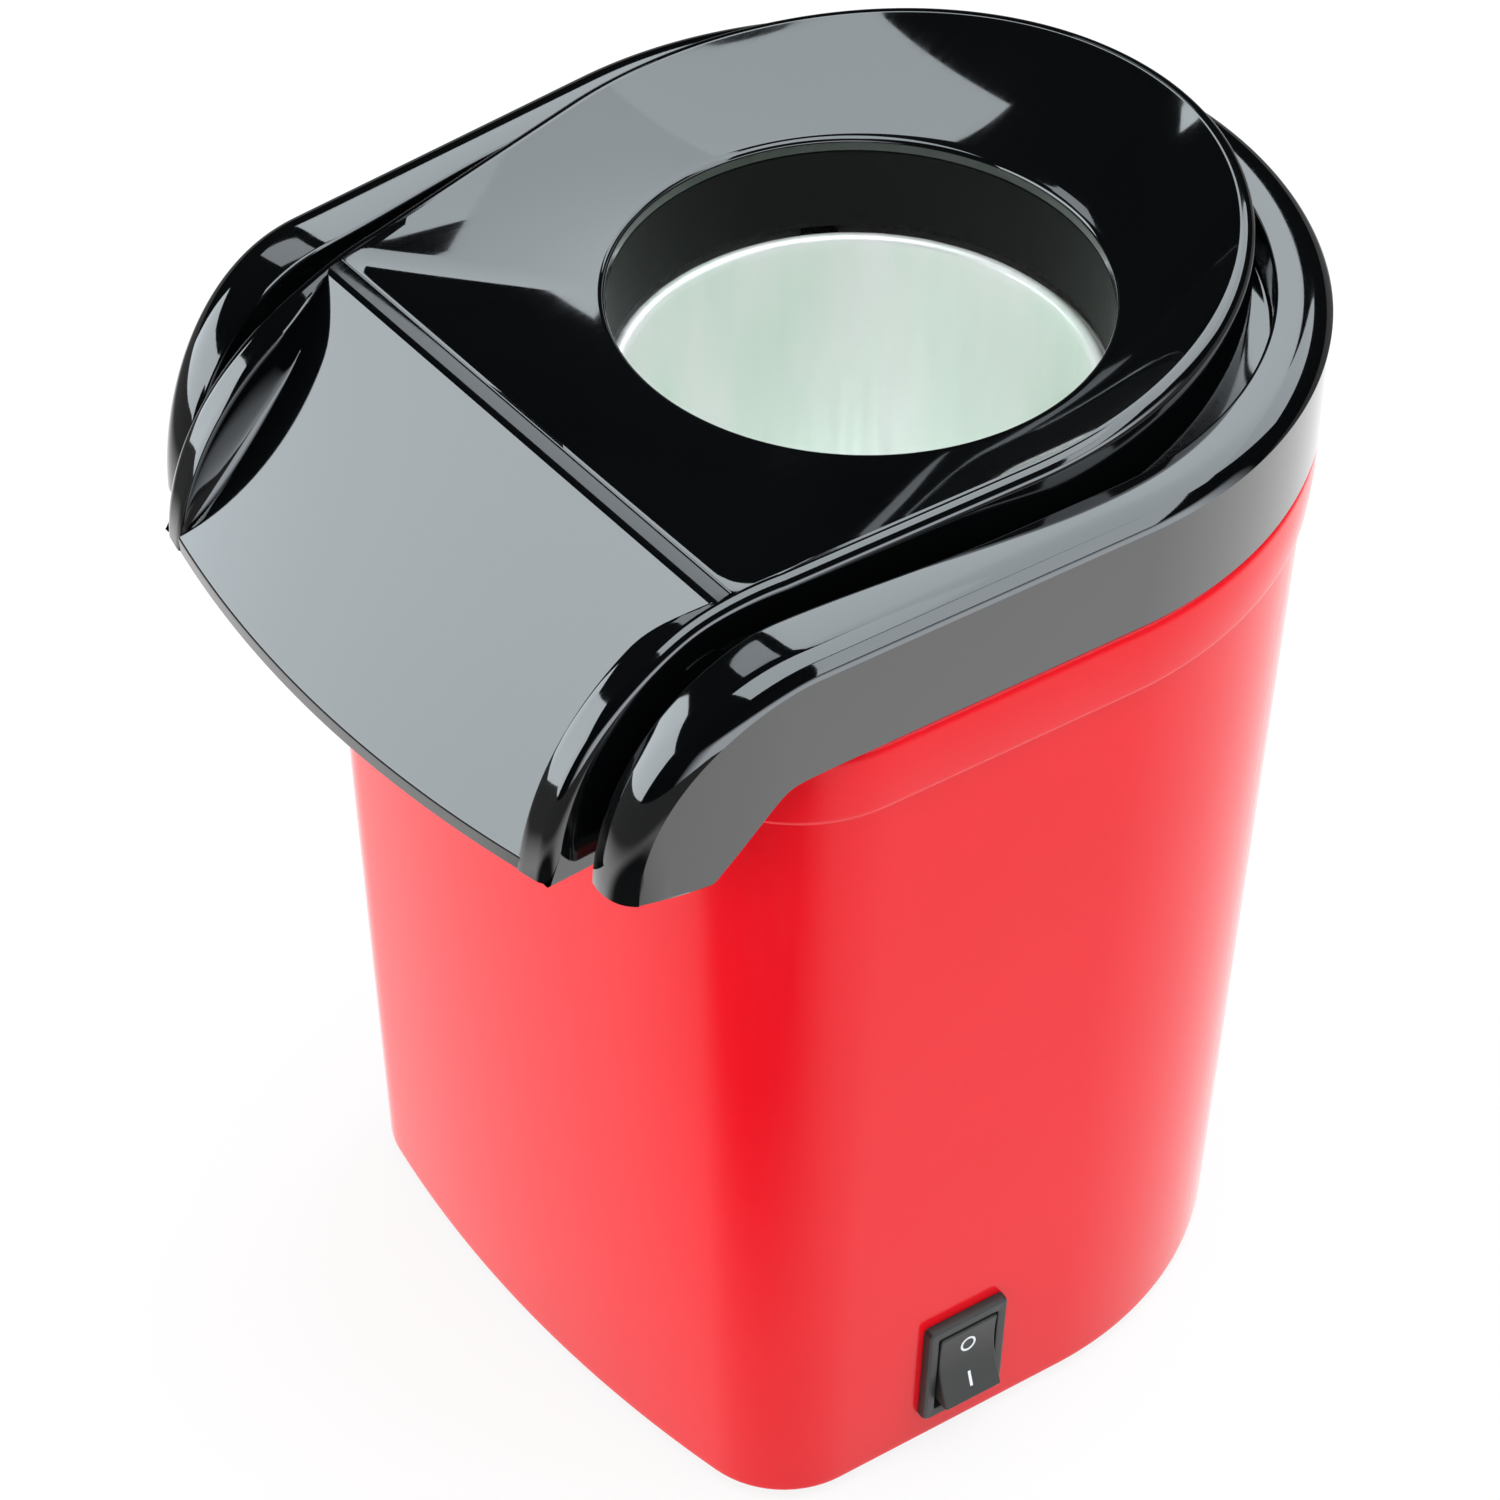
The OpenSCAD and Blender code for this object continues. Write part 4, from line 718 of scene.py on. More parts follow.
def top_edge():
    xy = body_plan + body_out * grow(BODY_TOP)
    cut = FRONT_CUT * (1 - smooth_step((np.abs(xy[:, 0]) - NOTCH_W) / 6))
    return BODY_TOP - np.where(xy[:, 1] < NOTCH_Y, cut, 0)


def housing_profile():
    """(offset, height) pairs up the outer wall, from the round foot to the moulded line."""
    rows = []
    for k in range(7):
        a = math.pi / 2 * k / 6
        rows.append((grow(BODY_FOOT + FOOT_ROUND) - FOOT_ROUND * (1 - math.sin(a)),
                     BODY_FOOT + FOOT_ROUND * (1 - math.cos(a))))
    rows += [(grow(z), z) for z in WALL_HEIGHTS]
    for f in np.linspace(0, 1, 9):
        z = RIDGE_LOW + RIDGE_RISE * f
        rows.append((grow(z) + RIDGE_OUT * smooth_step(f), z))
    return rows


def build_housing():
    edge = top_edge()
    outer = [ring(off, z) for off, z in housing_profile()]
    inner = [ring(off - WALL, z) for off, z in housing_profile()]
    for f in (0.08, 0.25, 0.45, 0.65, 0.85, 0.95, 1.0):
        z = blend_of(CUFF_LOW, edge, f)
        belly = RIDGE_OUT * (1 + 0.35 * math.sin(math.pi * f))
        belly += blend_of(grow(CUFF_LOW), grow(BODY_TOP), f)
        outer.append(ring(belly - (0.35 if f == 1.0 else 0.0), z))
        inner.append(ring(belly - WALL, z))
    return shell(outer, inner, wrap=True)


housing = make_piece("red_housing", *build_housing(), red_shell, "chassis", "red_shell")


# %% Bosses inside the housing
def boss(x, y, z0, z1, radius=4.0, bore=1.5):
    section = [(bore, z0), (radius, z0), (radius, z1 - 0.3), (radius - 0.3, z1), (bore, z1)]
    points, faces = lathe(section, 32)
    return [(px + x, py + y, pz) for px, py, pz in points], faces


DECK_Z = 158.0
DECK_SCREWS = [(41, 36), (-41, 36), (50, -34), (-50, -34)]
BASE_SCREWS = [(46, 26), (-46, 26), (47, -42), (-47, -42)]
bosses = [boss(x, y, DECK_Z - 22, DECK_Z) for x, y in DECK_SCREWS]
bosses += [boss(x, y, 6, 22) for x, y in BASE_SCREWS]
print("bosses:", len(bosses))

# %% Cut the slot and the cord hole
SWITCH_Y = -22.0
SWITCH_Z = 18.7
SWITCH_X = ((BODY_W + grow(SWITCH_Z)) / math.cos(SIDE_SLOPE)
            - (REAR_Y - SWITCH_Y) * math.tan(SIDE_SLOPE))
switch_frame = (Matrix.Translation((SWITCH_X, SWITCH_Y, SWITCH_Z))
                @ Matrix.Rotation(-SIDE_SLOPE, 4, "Z") @ Matrix.Rotation(DRAFT, 4, "Y"))
SLOT_HALF = (6.6, 9.6)
INLET_R = 5.35
CUT_REACH = 10
INLET_Z = 18.0
INLET_Y = REAR_Y + BODY_W + grow(INLET_Z)


def block(frame_matrix, low, high):
    """A box in a local frame."""
    corners = [tuple(frame_matrix @ Vector((x, y, z))) for x in (low[0], high[0])
               for y in (low[1], high[1]) for z in (low[2], high[2])]
    return corners, [(0, 1, 3, 2), (4, 6, 7, 5), (0, 4, 5, 1), (2, 3, 7, 6), (0, 2, 6, 4),
                     (1, 5, 7, 3)]


def cut(target, points, faces):
    """Takes a closed shape out of a piece for good."""
    cutter = bpy.data.objects.new("cutter", clean_mesh("cutter", points, faces))
    bpy.context.scene.collection.objects.link(cutter)
    modifier = target.modifiers.new("cut", "BOOLEAN")
    modifier.operation = "DIFFERENCE"
    modifier.solver = "EXACT"
    modifier.object = cutter
    bpy.context.view_layer.update()
    graph = bpy.context.evaluated_depsgraph_get()
    shape = bpy.data.meshes.new_from_object(target.evaluated_get(graph))
    target.modifiers.clear()
    target.data = shape
    bpy.data.objects.remove(cutter)


cut(housing, *block(switch_frame, (-CUT_REACH, -SLOT_HALF[0], -SLOT_HALF[1]),
                    (CUT_REACH, *SLOT_HALF)))
hole_points, hole_faces = lathe([(0, -CUT_REACH), (INLET_R, -CUT_REACH), (INLET_R, CUT_REACH),
                                 (0, CUT_REACH)], 48)
cut(housing, [(x, INLET_Y + z, INLET_Z + y) for x, y, z in hole_points], hole_faces)
housing.data.set_sharp_from_angle(angle=math.radians(35))
make_piece("housing_bosses", *join_parts(bosses), red_shell, "chassis", "red_shell")
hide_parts("body_shell")
print("housing after the cuts:", len(housing.data.polygons), "faces")

# %% [markdown]
# ## Lid: heights that all its parts share
# The lid is one moulding in four zones: the dished raised top, the hood over the chute, the outer
# band with its two noses, and the groove between. Their heights follow two quarter ellipses that
# fall to the lip, so one function for each keeps rails, band and groove in step.

# %% Lid heights
BAND_Z = 185.0
BAND_OUT = 0.5
BAND_WIDTH = 8.6
BAND_ROUND = 4.5
GROOVE_DEPTH = 8.0
TOP_Z = 191.25
TOP_RISE = 0.076
HOLE_R = 37.2
HOLE_Z = 182.4
HOLE_ROUND = 1.0
CREASE_Y = -61.3
HOOD_Y = 91.0
LIP_BOW = 5.7
LIP_Z = 151.4
LIP_T = 2.6
LIP_TOP = LIP_Z + LIP_T
RAIL_START = CREASE_Y + 9.3
NOSE_START = CREASE_Y + 4.3
NOSE_Y = 87.9
NOSE_Z = 151.5
SKIRT_Z = BODY_TOP + 0.3
LIP_R = (HOOD_W ** 2 + LIP_BOW ** 2) / (2 * LIP_BOW)


def plane_z(y):
    return TOP_Z + TOP_RISE * y


CREASE_Z = plane_z(CREASE_Y)


def lip_y(x):
    return -HOOD_Y - LIP_BOW + LIP_R - np.sqrt(LIP_R ** 2 - np.asarray(x, float) ** 2)


print(f"crease at {CREASE_Z:.1f} mm, lip at {LIP_TOP:.1f} mm")

# %% [markdown]
# ## Rim and rails
# One rounded rim runs from the tip of the right rail, up and over the crease, round the rear of
# the raised top and down the other rail. Its section is held square to the falling curve of the
# rail, so the highlight keeps its width all the way. In front of the crease the section goes on
# down the wall of the recess. Modelling the rails with the ramp would break the highlight at the
# corner.

# %% Rim
TOP_W = 55.4
TOP_REACH = 61.6
TOP_Y = -3.5
RIM_R = 2.0
CREASE_GENTLE = 8.5
CREASE_TIGHT = 1.6
GENTLE_SHARE = 0.46
CREST_W = 5.6
RIM_LEAN = (TOP_W - HOOD_W) / (TOP_Y - CREASE_Y)
RIM_BEND_Y = CREASE_Y - 4.6
RIM_BEND = 3.0
HOLLOW = 5.4
HOLLOW_START = 0.18
RAIL_REACH = HOOD_Y + RAIL_START + 0.25
RAIL_FALL = plane_z(RAIL_START) - LIP_Z
FLOOR_Z = BAND_Z - GROOVE_DEPTH
plane_slope = math.atan(TOP_RISE)
ramp_slope = math.atan2(CREASE_Z - LIP_TOP, HOOD_Y + LIP_BOW + CREASE_Y)
crease_turn = ramp_slope - plane_slope


def crease_points(count=24):
    """(y, z) down the crease: a gentle turn off the raised top, then a tight one onto the ramp."""
    y, z, angle = 0.0, 0.0, plane_slope
    points = [(y, z)]
    for k in range(count):
        radius = CREASE_GENTLE if k < count * GENTLE_SHARE else CREASE_TIGHT
        step = radius * crease_turn / count
        angle += crease_turn / count / 2
        y, z = y - step * math.cos(angle), z - step * math.sin(angle)
        angle += crease_turn / count / 2
        points.append((y, z))
    lead = (z - y * math.tan(ramp_slope)) / (math.tan(plane_slope) - math.tan(ramp_slope))
    start_z = CREASE_Z - lead * math.tan(plane_slope)
    return [(CREASE_Y - lead + py, start_z + pz) for py, pz in points]


crease_line = crease_points()
crease_run = crease_line[0][0] - CREASE_Y


def rim_x(y):
    u = y - RIM_BEND_Y
    return HOOD_W + RIM_LEAN * (u + math.hypot(u, RIM_BEND)) / 2


def side_normal(y):
    u = y - RIM_BEND_Y
    slope = math.atan(RIM_LEAN * (1 + u / math.hypot(u, RIM_BEND)) / 2)
    return math.cos(slope), -math.sin(slope)


def fall_up(t, reach, height):
    """Unit vector square to a quarter ellipse, t from 0 at its top to a right angle at its foot."""
    y, z = -math.sin(t) / reach, math.cos(t) / height
    size = math.hypot(y, z)
    return y / size, z / size


def rim_path():
    """(x, y, z, outward x and y, up y and z) from the right rail's tip to the rear's middle."""
    path = []
    for k in range(49):
        t = math.pi / 2 * (1 - k / 48)
        y = RAIL_START - RAIL_REACH * math.sin(t)
        path.append((rim_x(y), y, LIP_Z + RAIL_FALL * math.cos(t), *side_normal(y),
                     *fall_up(t, RAIL_REACH, RAIL_FALL)))
    lean = math.atan(RIM_LEAN)
    y_end = TOP_Y - TOP_REACH * math.sin(lean)
    for k in range(1, 25):
        y = blend_of(RAIL_START, y_end, k / 25)
        path.append((rim_x(y), y, plane_z(y), *side_normal(y), 0.0, 1.0))
    for x, y, nx, ny in arc((0, TOP_Y), (TOP_W, TOP_REACH), -lean, math.pi / 2, 80):
        path.append((x, y, plane_z(y), nx, ny, 0.0, 1.0))
    return path


def ramp_at(x, y):
    """Height of the ramp under a point."""
    return CREASE_Z - (CREASE_Z - LIP_TOP) * (CREASE_Y - y) / (CREASE_Y - lip_y(x))


def rim_section(x, y, z, nx, ny, uy, uz):
    """Outer and inner points across the rim; in front of the crease they go on down the recess."""
    tip = max(0.0, 1 - (z - LIP_Z) / RAIL_FALL) ** 3

    def at(e, d):
        px = x - nx * e
        bow = -lip_y(px) - HOOD_Y if y < CREASE_Y else 0.0
        return (px, y - ny * e - uy * d - bow * tip, z - uz * d)

    front = smooth_step((CREASE_Y + 1.8 - y) / 3)
    hood_foot = blend_of(LIP_Z, BODY_TOP - FRONT_CUT + 3, smooth_step((y - CREASE_Y + 17) / 8))
    foot = blend_of(FLOOR_Z - 1, hood_foot, smooth_step((RAIL_START - y) / 4))
    foot = min(foot, at(0, RIM_R)[2])
    foot_out = 0.3 * (1 - smooth_step((RAIL_START - y) / 16))
    outer = [(x + nx * foot_out, y + ny * foot_out, foot), at(0, RIM_R)]
    inner = [(x - nx * WALL, y - ny * WALL, foot), at(WALL, RIM_R + 0.6)]
    for k in range(1, 9):
        a = math.pi / 2 * k / 8
        outer.append(at(RIM_R * (1 - math.cos(a)), RIM_R * (1 - math.sin(a))))
        inner.append(at(WALL + 0.02 * k, RIM_R + 0.7))
    for k in (1, 2, 3):
        outer.append(at(blend_of(RIM_R + 0.01 * k, RIM_R + 0.1 * k, front), 0.25 * k * (1 - front)))
        inner.append(at(WALL + 0.1 + 0.1 * k, RIM_R + 0.8))
    broad = RIM_R + 0.5 + (CREST_W - RIM_R - 0.5) * smooth_step((CREASE_Y + 1 - y) / 13)
    for share, drop in ((0.3, 0.0), (0.6, 0.0), (0.86, 0.02), (0.95, 0.14), (1.0, 0.5)):
        e = blend_of(RIM_R + 0.35, broad, share)
        outer.append(at(e, blend_of(0.8, drop, front)))
        inner.append(at(max(WALL + 0.5, e - 0.6), RIM_R + 0.9))
    top_x, top_y, top_z = outer[-1]
    v = clamp((CREASE_Y - top_y) / (CREASE_Y + HOOD_Y))
    depth = max(0.0, top_z - ramp_at(top_x, top_y)) * front
    room = clamp((top_z - LIP_Z) / 4) if y < CREASE_Y else 1.0
    lowest = LIP_Z + 0.02 if y < CREASE_Y else 0.0
    reach = HOLLOW * max(0.0, v - HOLLOW_START) * math.sqrt(max(0.0, 1.02 - v))
    reach = min(0.62 * depth, reach) + 0.05
    for k in range(1, 11):
        f = k / 10
        drop = blend_of(0.6 + 0.1 * k, (depth + 0.5) * f, min(1.0, depth)) * room
        foot_in = reach * f ** 1.7 + 0.7 * f ** 14 * front
        back = reach * f - 0.3
        outer.append((top_x - nx * foot_in, top_y - ny * foot_in, top_z - drop))
        inner.append((top_x - nx * back, top_y - ny * back, max(lowest, top_z - drop - WALL)))
    return outer, inner


def mirrored_sweep(stations, section):
    """Shell swept along the right, mirrored to the left; the last station is the middle."""
    half = [section(*station) for station in stations]
    other = [[[(-x, y, z) for x, y, z in row] for row in pair] for pair in reversed(half[:-1])]
    outer, inner = zip(*half, *other)
    return shell(outer, inner, wrap=False)


make_piece("lid_rim", *mirrored_sweep(rim_path(), rim_section), black_gloss, "lid", "black_gloss",
           sharp=38)

# %% [markdown]
# ## Raised top
# Inside the rim lies a flat border and then a shallow dish that falls to the filling hole. The
# border's inner corners are rounder than the rim's own, as on a polished tool. The edge of the
# hole is an arc, because its thin line of light is the only thing that parts it from the dark
# throat.

# %% Raised top
BORDER = 0.45
OVERLAP = 0.15


def top_curve(inset, corner):
    half_w = TOP_W - inset
    front_y = CREASE_Y + crease_run + inset - RIM_R + OVERLAP
    return d_plan(half_w, TOP_REACH - inset, TOP_Y, half_w - RIM_LEAN * (TOP_Y - front_y), front_y,
                  0.05, corner, steps=(132, 20, 12, 36))


border_plan, _ = top_curve(RIM_R - OVERLAP, 0.8)
dish_plan, _ = top_curve(RIM_R - OVERLAP + BORDER, 5.0)


def hole_ring(radius, z):
    unit = dish_plan / np.linalg.norm(dish_plan, axis=1, keepdims=True)
    return np.column_stack([unit * radius, np.full(len(unit), z)])


def dish_row(f, drop):
    """A ring of the dish, f from 0 at the border to 1 at the hole."""
    end = hole_ring(HOLE_R + HOLE_ROUND, HOLE_Z)
    height = blend_of(plane_z(dish_plan[:, 1]), HOLE_Z, f * (1.35 - 0.35 * f))
    return np.column_stack([blend_of(dish_plan, end[:, :2], f), height - drop])


def build_top():
    border_z = plane_z(border_plan[:, 1])
    outer = [np.column_stack([border_plan, border_z - drop]) for drop in (1.5, 0)]
    inner = [np.column_stack([border_plan, border_z - WALL])] * 2
    for f in np.linspace(0, 1, 27):
        outer.append(dish_row(f, 0))
        inner.append(dish_row(0.02 + 0.98 * f, WALL))
    for k in range(1, 7):
        a = math.pi / 2 * k / 6
        outer.append(hole_ring(HOLE_R + HOLE_ROUND * (1 - math.sin(a)),
                               HOLE_Z - HOLE_ROUND * (1 - math.cos(a))))
        inner.append(hole_ring(HOLE_R + HOLE_ROUND * (1 - k / 6), HOLE_Z - WALL))
    return shell(outer, inner, wrap=True)


raised_top = make_piece("lid_raised_top", *build_top(), black_gloss, "lid", "black_gloss",
                        sharp=20)

# %% [markdown]
# ## Crease and ramp
# The ramp is one sheet between the rails. Behind, it turns up over the crease, tightly at first
# and then gently, and slides just under the border of the raised top. In front it ends in a
# bowed, rounded lip. The two turns are what split the reflections into a grey line, a black line
# and the grey ramp; a single arc would blur them.

# %% Ramp
LIP_ROUND = 1.0
RAMP_HALF = HOOD_W - 1.3


def build_ramp():
    xs = np.linspace(-RAMP_HALF, RAMP_HALF, 61)

    def row(y, z):
        return np.column_stack(np.broadcast_arrays(xs, y, z))

    back_y = crease_line[0][0]
    outer = [row(back_y + 3, plane_z(back_y + 3) - 1.2),
             row(back_y + 1.2, plane_z(back_y + 1.2) - 0.5)]
    outer += [row(y, z) for y, z in crease_line]
    end_y, end_z = crease_line[-1]
    lip_edge = lip_y(xs) + LIP_ROUND * (1 - math.sin(ramp_slope))
    for k in range(1, 41):
        outer.append(row(blend_of(end_y, lip_edge, k / 40), blend_of(end_z, LIP_TOP, k / 40)))
    inner = [points - (0, 0, LIP_T) for points in outer]
    last = outer[-1]
    for k in range(1, 9):
        a = blend_of(ramp_slope, math.pi / 2, k / 8)
        turn = (0, math.sin(ramp_slope) - math.sin(a), math.cos(a) - math.cos(ramp_slope))
        outer.append(last + LIP_ROUND * np.array(turn))
        inner.append(inner[-1] - (0, 0.02, 0))
    for rows in (outer, inner):
        foot = rows[-1].copy()
        foot[:, 2] = LIP_Z
        rows.append(foot)
    return shell(outer, inner, wrap=False)


make_piece("lid_ramp", *build_ramp(), black_gloss, "lid", "black_gloss", sharp=30)

# %% [markdown]
# ## Band, groove and noses
# The band runs round the lid as one bead and turns down at the front into two noses that clasp
# the housing's corners. Like the rim it is swept square to its falling curve. The outer round
# grows from a narrow bead at the sides to the whole width of the nose, and it ends in a crisp
# edge against the flat side face. The floor of the groove belongs to the band and tucks under the
# rim's wall.

# %% Band
BAND_W = BODY_W + grow(BODY_TOP) + RIDGE_OUT + BAND_OUT - 0.04
NOSE_FOOT = NOSE_Z - 0.2
NOSE_REACH = NOSE_Y + NOSE_START
FACE_TURN_Y = -62.0
FACE_TURN_R = 115.0
ROUND_END = math.radians(62)
SKIRT_TURN = -61.8
SKIRT_RISE = 1.15
BEAD_DEPTH = 2.9
NOSE_DEPTH = 4.4
NOSE_GROOVE = 7.4
FRONT_WIDENS = 2.2


def side_x(y, z=BAND_Z):
    """The side face: it leans in with the draft and follows the housing's front corner round."""
    round_in = max(0.0, FACE_TURN_Y - y) ** 2 / (2 * FACE_TURN_R)
    lean = (BAND_Z - z) * math.tan(DRAFT) / 2
    return BAND_W / math.cos(SIDE_SLOPE) - (REAR_Y - y) * math.tan(SIDE_SLOPE) - round_in - lean


def skirt_edge(y):
    """Lower edge of the band: level round the lid, then straight down to the nose's foot."""
    d = SKIRT_TURN - y
    return max(NOSE_Z, SKIRT_Z - SKIRT_RISE * (d + math.sqrt(d * d + 3)) / 2)


def band_path():
    """(x, y, z, outward x and y, up y and z, share of the nose) from the right nose to the rear."""
    path = []
    normal = (math.cos(SIDE_SLOPE), -math.sin(SIDE_SLOPE))
    for k in range(49):
        t = math.pi / 2 * (1 - k / 48)
        y = NOSE_START - NOSE_REACH * math.sin(t)
        z = NOSE_FOOT + (BAND_Z - NOSE_FOOT) * math.cos(t)
        turn = SIDE_SLOPE + math.atan(max(0.0, FACE_TURN_Y - y) / FACE_TURN_R)
        path.append((side_x(y, z), y, z, math.cos(turn), -math.sin(turn),
                     *fall_up(t, NOSE_REACH, BAND_Z - NOSE_FOOT), t / (math.pi / 2)))
    for k in range(1, 30):
        y = blend_of(NOSE_START, REAR_Y - BAND_W * math.sin(SIDE_SLOPE), k / 30)
        path.append((side_x(y), y, BAND_Z, *normal, 0.0, 1.0, 0.0))
    for x, y, nx, ny in arc((0, REAR_Y), (BAND_W, BAND_W), -SIDE_SLOPE, math.pi / 2, 80):
        path.append((x, y, BAND_Z, nx, ny, 0.0, 1.0, 0.0))
    return path


def floor_in(y):
    """Width from the band's outer face to the middle of the rim's wall."""
    f = clamp((TOP_Y - y) / (TOP_Y - CREASE_Y))
    return BAND_W - TOP_W + WALL / 2 + f * (TOP_W - HOOD_W - SIDE_IN - 0.8)


def band_section(x, y, z, nx, ny, uy, uz, share):
    """Outer and inner points of the bead at one place of the path."""
    def at(e, d):
        return (x - nx * e, y - ny * e - uy * d, z - uz * d)

    grown = smooth_step(share)
    edge = BAND_WIDTH + FRONT_WIDENS * smooth_step((-20 - y) / 40) * (1 - 0.95 * grown)
    width = blend_of(BAND_ROUND, edge - 0.7, grown)
    depth = blend_of(BEAD_DEPTH, NOSE_DEPTH, grown)
    low_floor = blend_of(GROOVE_DEPTH, NOSE_GROOVE, grown)
    outer = [at(floor_in(y), low_floor), at(edge + 0.5, low_floor),
             at(edge + 0.12, low_floor - 0.1), at(edge, low_floor - 0.5)]
    for k in range(9):
        a = math.pi / 2 * k / 8
        outer.append(at(edge - 0.6 * (1 - math.cos(a)), 0.75 - 0.6 * math.sin(a)))
    for f in (0.25, 0.5, 0.75, 1.0):
        outer.append(at(blend_of(edge - 0.6, width, f), 0.15 * (1 - f) ** 2))
    for k in range(1, 17):
        a = ROUND_END * k / 16
        outer.append(at(width * (1 - math.sin(a) / math.sin(ROUND_END)),
                        depth * (1 - math.cos(a)) / (1 - math.cos(ROUND_END))))
    count = len(outer) + 3
    inner = [(px, py, min(pz, max(pz - WALL, NOSE_Z))) for px, py, pz in outer[:4]]
    for k in range(4, count - 3):
        thick = blend_of(WALL + 0.4 + 3 * max(0.0, (k - count + 12) / 9), depth + 0.6, grown)
        inner.append(at(blend_of(edge - 1.6, WALL, (k - 4) / (count - 8)), thick))
    face_x, face_y, face_z = outer[-1]
    low = min(face_z, skirt_edge(face_y))
    lean = (face_z - low) * math.tan(DRAFT) / 2 * nx
    outer += [(face_x - lean / 2, face_y, blend_of(face_z, low, 0.5)),
              (face_x - lean, face_y, low + min(0.3, (face_z - low) * 0.3)),
              (face_x - lean - nx * 0.3 * (1 - grown), face_y, low)]
    wall_x = face_x - lean - nx * WALL
    inner.append((wall_x, face_y, max(low + 0.04, min(inner[-1][2], face_z))))
    inner += [(wall_x, face_y, low + 0.02)] * 2
    return outer, inner


make_piece("lid_band", *mirrored_sweep(band_path(), band_section), black_gloss, "lid",
           "black_gloss", sharp=16)

# %% [markdown]
# ## Under the lid
# A tongue inside the skirt centres the lid in the housing, and five screw bosses hold the throat
# and chute. They show when the lid is off. Both are simple rings, so they are swept and turned,
# not carved.

# %% Tongue and bosses of the lid
TONGUE_IN = BAND_OUT + WALL + 0.4
TONGUE_T = 1.6
TONGUE_H = 7.4
TONGUE_Z = SKIRT_Z - 4.6
TONGUE_FRONT = -44
LID_SCREW_ANGLES = (35, 90, 145, 195, 345)
LID_SCREW_R = 45.5
LID_BOSS_Z = 176.0
LID_BOSS_TOP = HOLE_Z + 1.2


def build_tongue():
    """A ring from the rear round to the sides, open at the front."""
    keep = [i for i in range(len(body_plan)) if body_plan[i, 1] > TONGUE_FRONT]
    first = next(k for k in range(len(keep)) if keep[k] + 1 != (keep + [None])[k + 1])
    order = keep[first + 1:] + keep[:first + 1]
    section = [(0.0, 0.0), (0.3, -0.4), (TONGUE_T - 0.3, -0.4), (TONGUE_T, 0.0),
               (TONGUE_T, TONGUE_H), (0.0, TONGUE_H)]
    rings = []
    for i in order:
        face = body_plan[i] + body_out[i] * (BAND_W - BODY_W - TONGUE_IN)
        rings.append([(*(face - body_out[i] * e), TONGUE_Z + z) for e, z in section])
    return stack(rings)


def lid_bosses():
    turns = [math.radians(angle) for angle in LID_SCREW_ANGLES]
    return [boss(LID_SCREW_R * math.cos(a), LID_SCREW_R * math.sin(a), LID_BOSS_Z, LID_BOSS_TOP,
                 radius=3.0) for a in turns]


make_piece("lid_tongue_and_bosses", *join_parts([build_tongue()] + lid_bosses()), black_gloss,
           "lid", "black_gloss")
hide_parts("lid_cover")

# %% [markdown]
# ## Popping chamber
# The chamber is a drawn cup with a rolled rim, a domed floor and slanted louvres low in the wall
# that make the hot air swirl. The cup is a turned sheet whose columns line up with the louvres,
# so that a slot is simply a cell left out, with its cut edges closed. The vanes are separate thin
# blades at the slots, bent into the cup.

# %% Chamber
CAN_R = 35.2
CAN_T = 0.8
CAN_TOP = 165.2
CAN_FLOOR = 97.0
LOUVRES = 18
LOUVRE_Z = CAN_FLOOR + 4
LOUVRE_H = 11.0
DECK_TOP = 161.0
FLOOR_R = 29.2
FLOOR_CORNER = 6.0
FLOOR_BOW = 6.7
BEAD_R = 1.1
FLANGE_R = 44.0
SLOT_HALF_W = 1.5
VANE_ANGLE = math.radians(-65)


def chamber_rows():
    """(inner radius and height, outer radius and height) from the floor's middle to the rim."""
    rows = []
    for k in range(13):
        r = FLOOR_R * k / 12
        z = CAN_FLOOR + 0.3 + FLOOR_BOW * (0.5 + 0.5 * math.cos(math.pi * r / FLOOR_R))
        rows.append((r, z, r, z - CAN_T))
    for k in range(1, 9):
        a = math.pi / 2 * k / 8
        across, up = math.sin(a), 1 - math.cos(a)
        rows.append((FLOOR_R + FLOOR_CORNER * across, CAN_FLOOR + 0.3 + 3.7 * up,
                     FLOOR_R + (FLOOR_CORNER + CAN_T) * across, CAN_FLOOR - 0.5 + 4.5 * up))
    louvre_heights = [LOUVRE_Z + LOUVRE_H * k / 4 for k in range(1, 5)]
    for z in louvre_heights + [118, 126, 134, 142, 150, 157, 161, 163.2]:
        rows.append((CAN_R, z, CAN_R + CAN_T, z))
    for k in range(1, 15):
        c, n = math.cos(math.pi * 1.35 * k / 14), math.sin(math.pi * 1.35 * k / 14)
        rows.append((CAN_R + BEAD_R - BEAD_R * c, CAN_TOP - BEAD_R + BEAD_R * n,
                     CAN_R + BEAD_R - 0.35 * c, CAN_TOP - BEAD_R + 0.35 * n))
    return rows


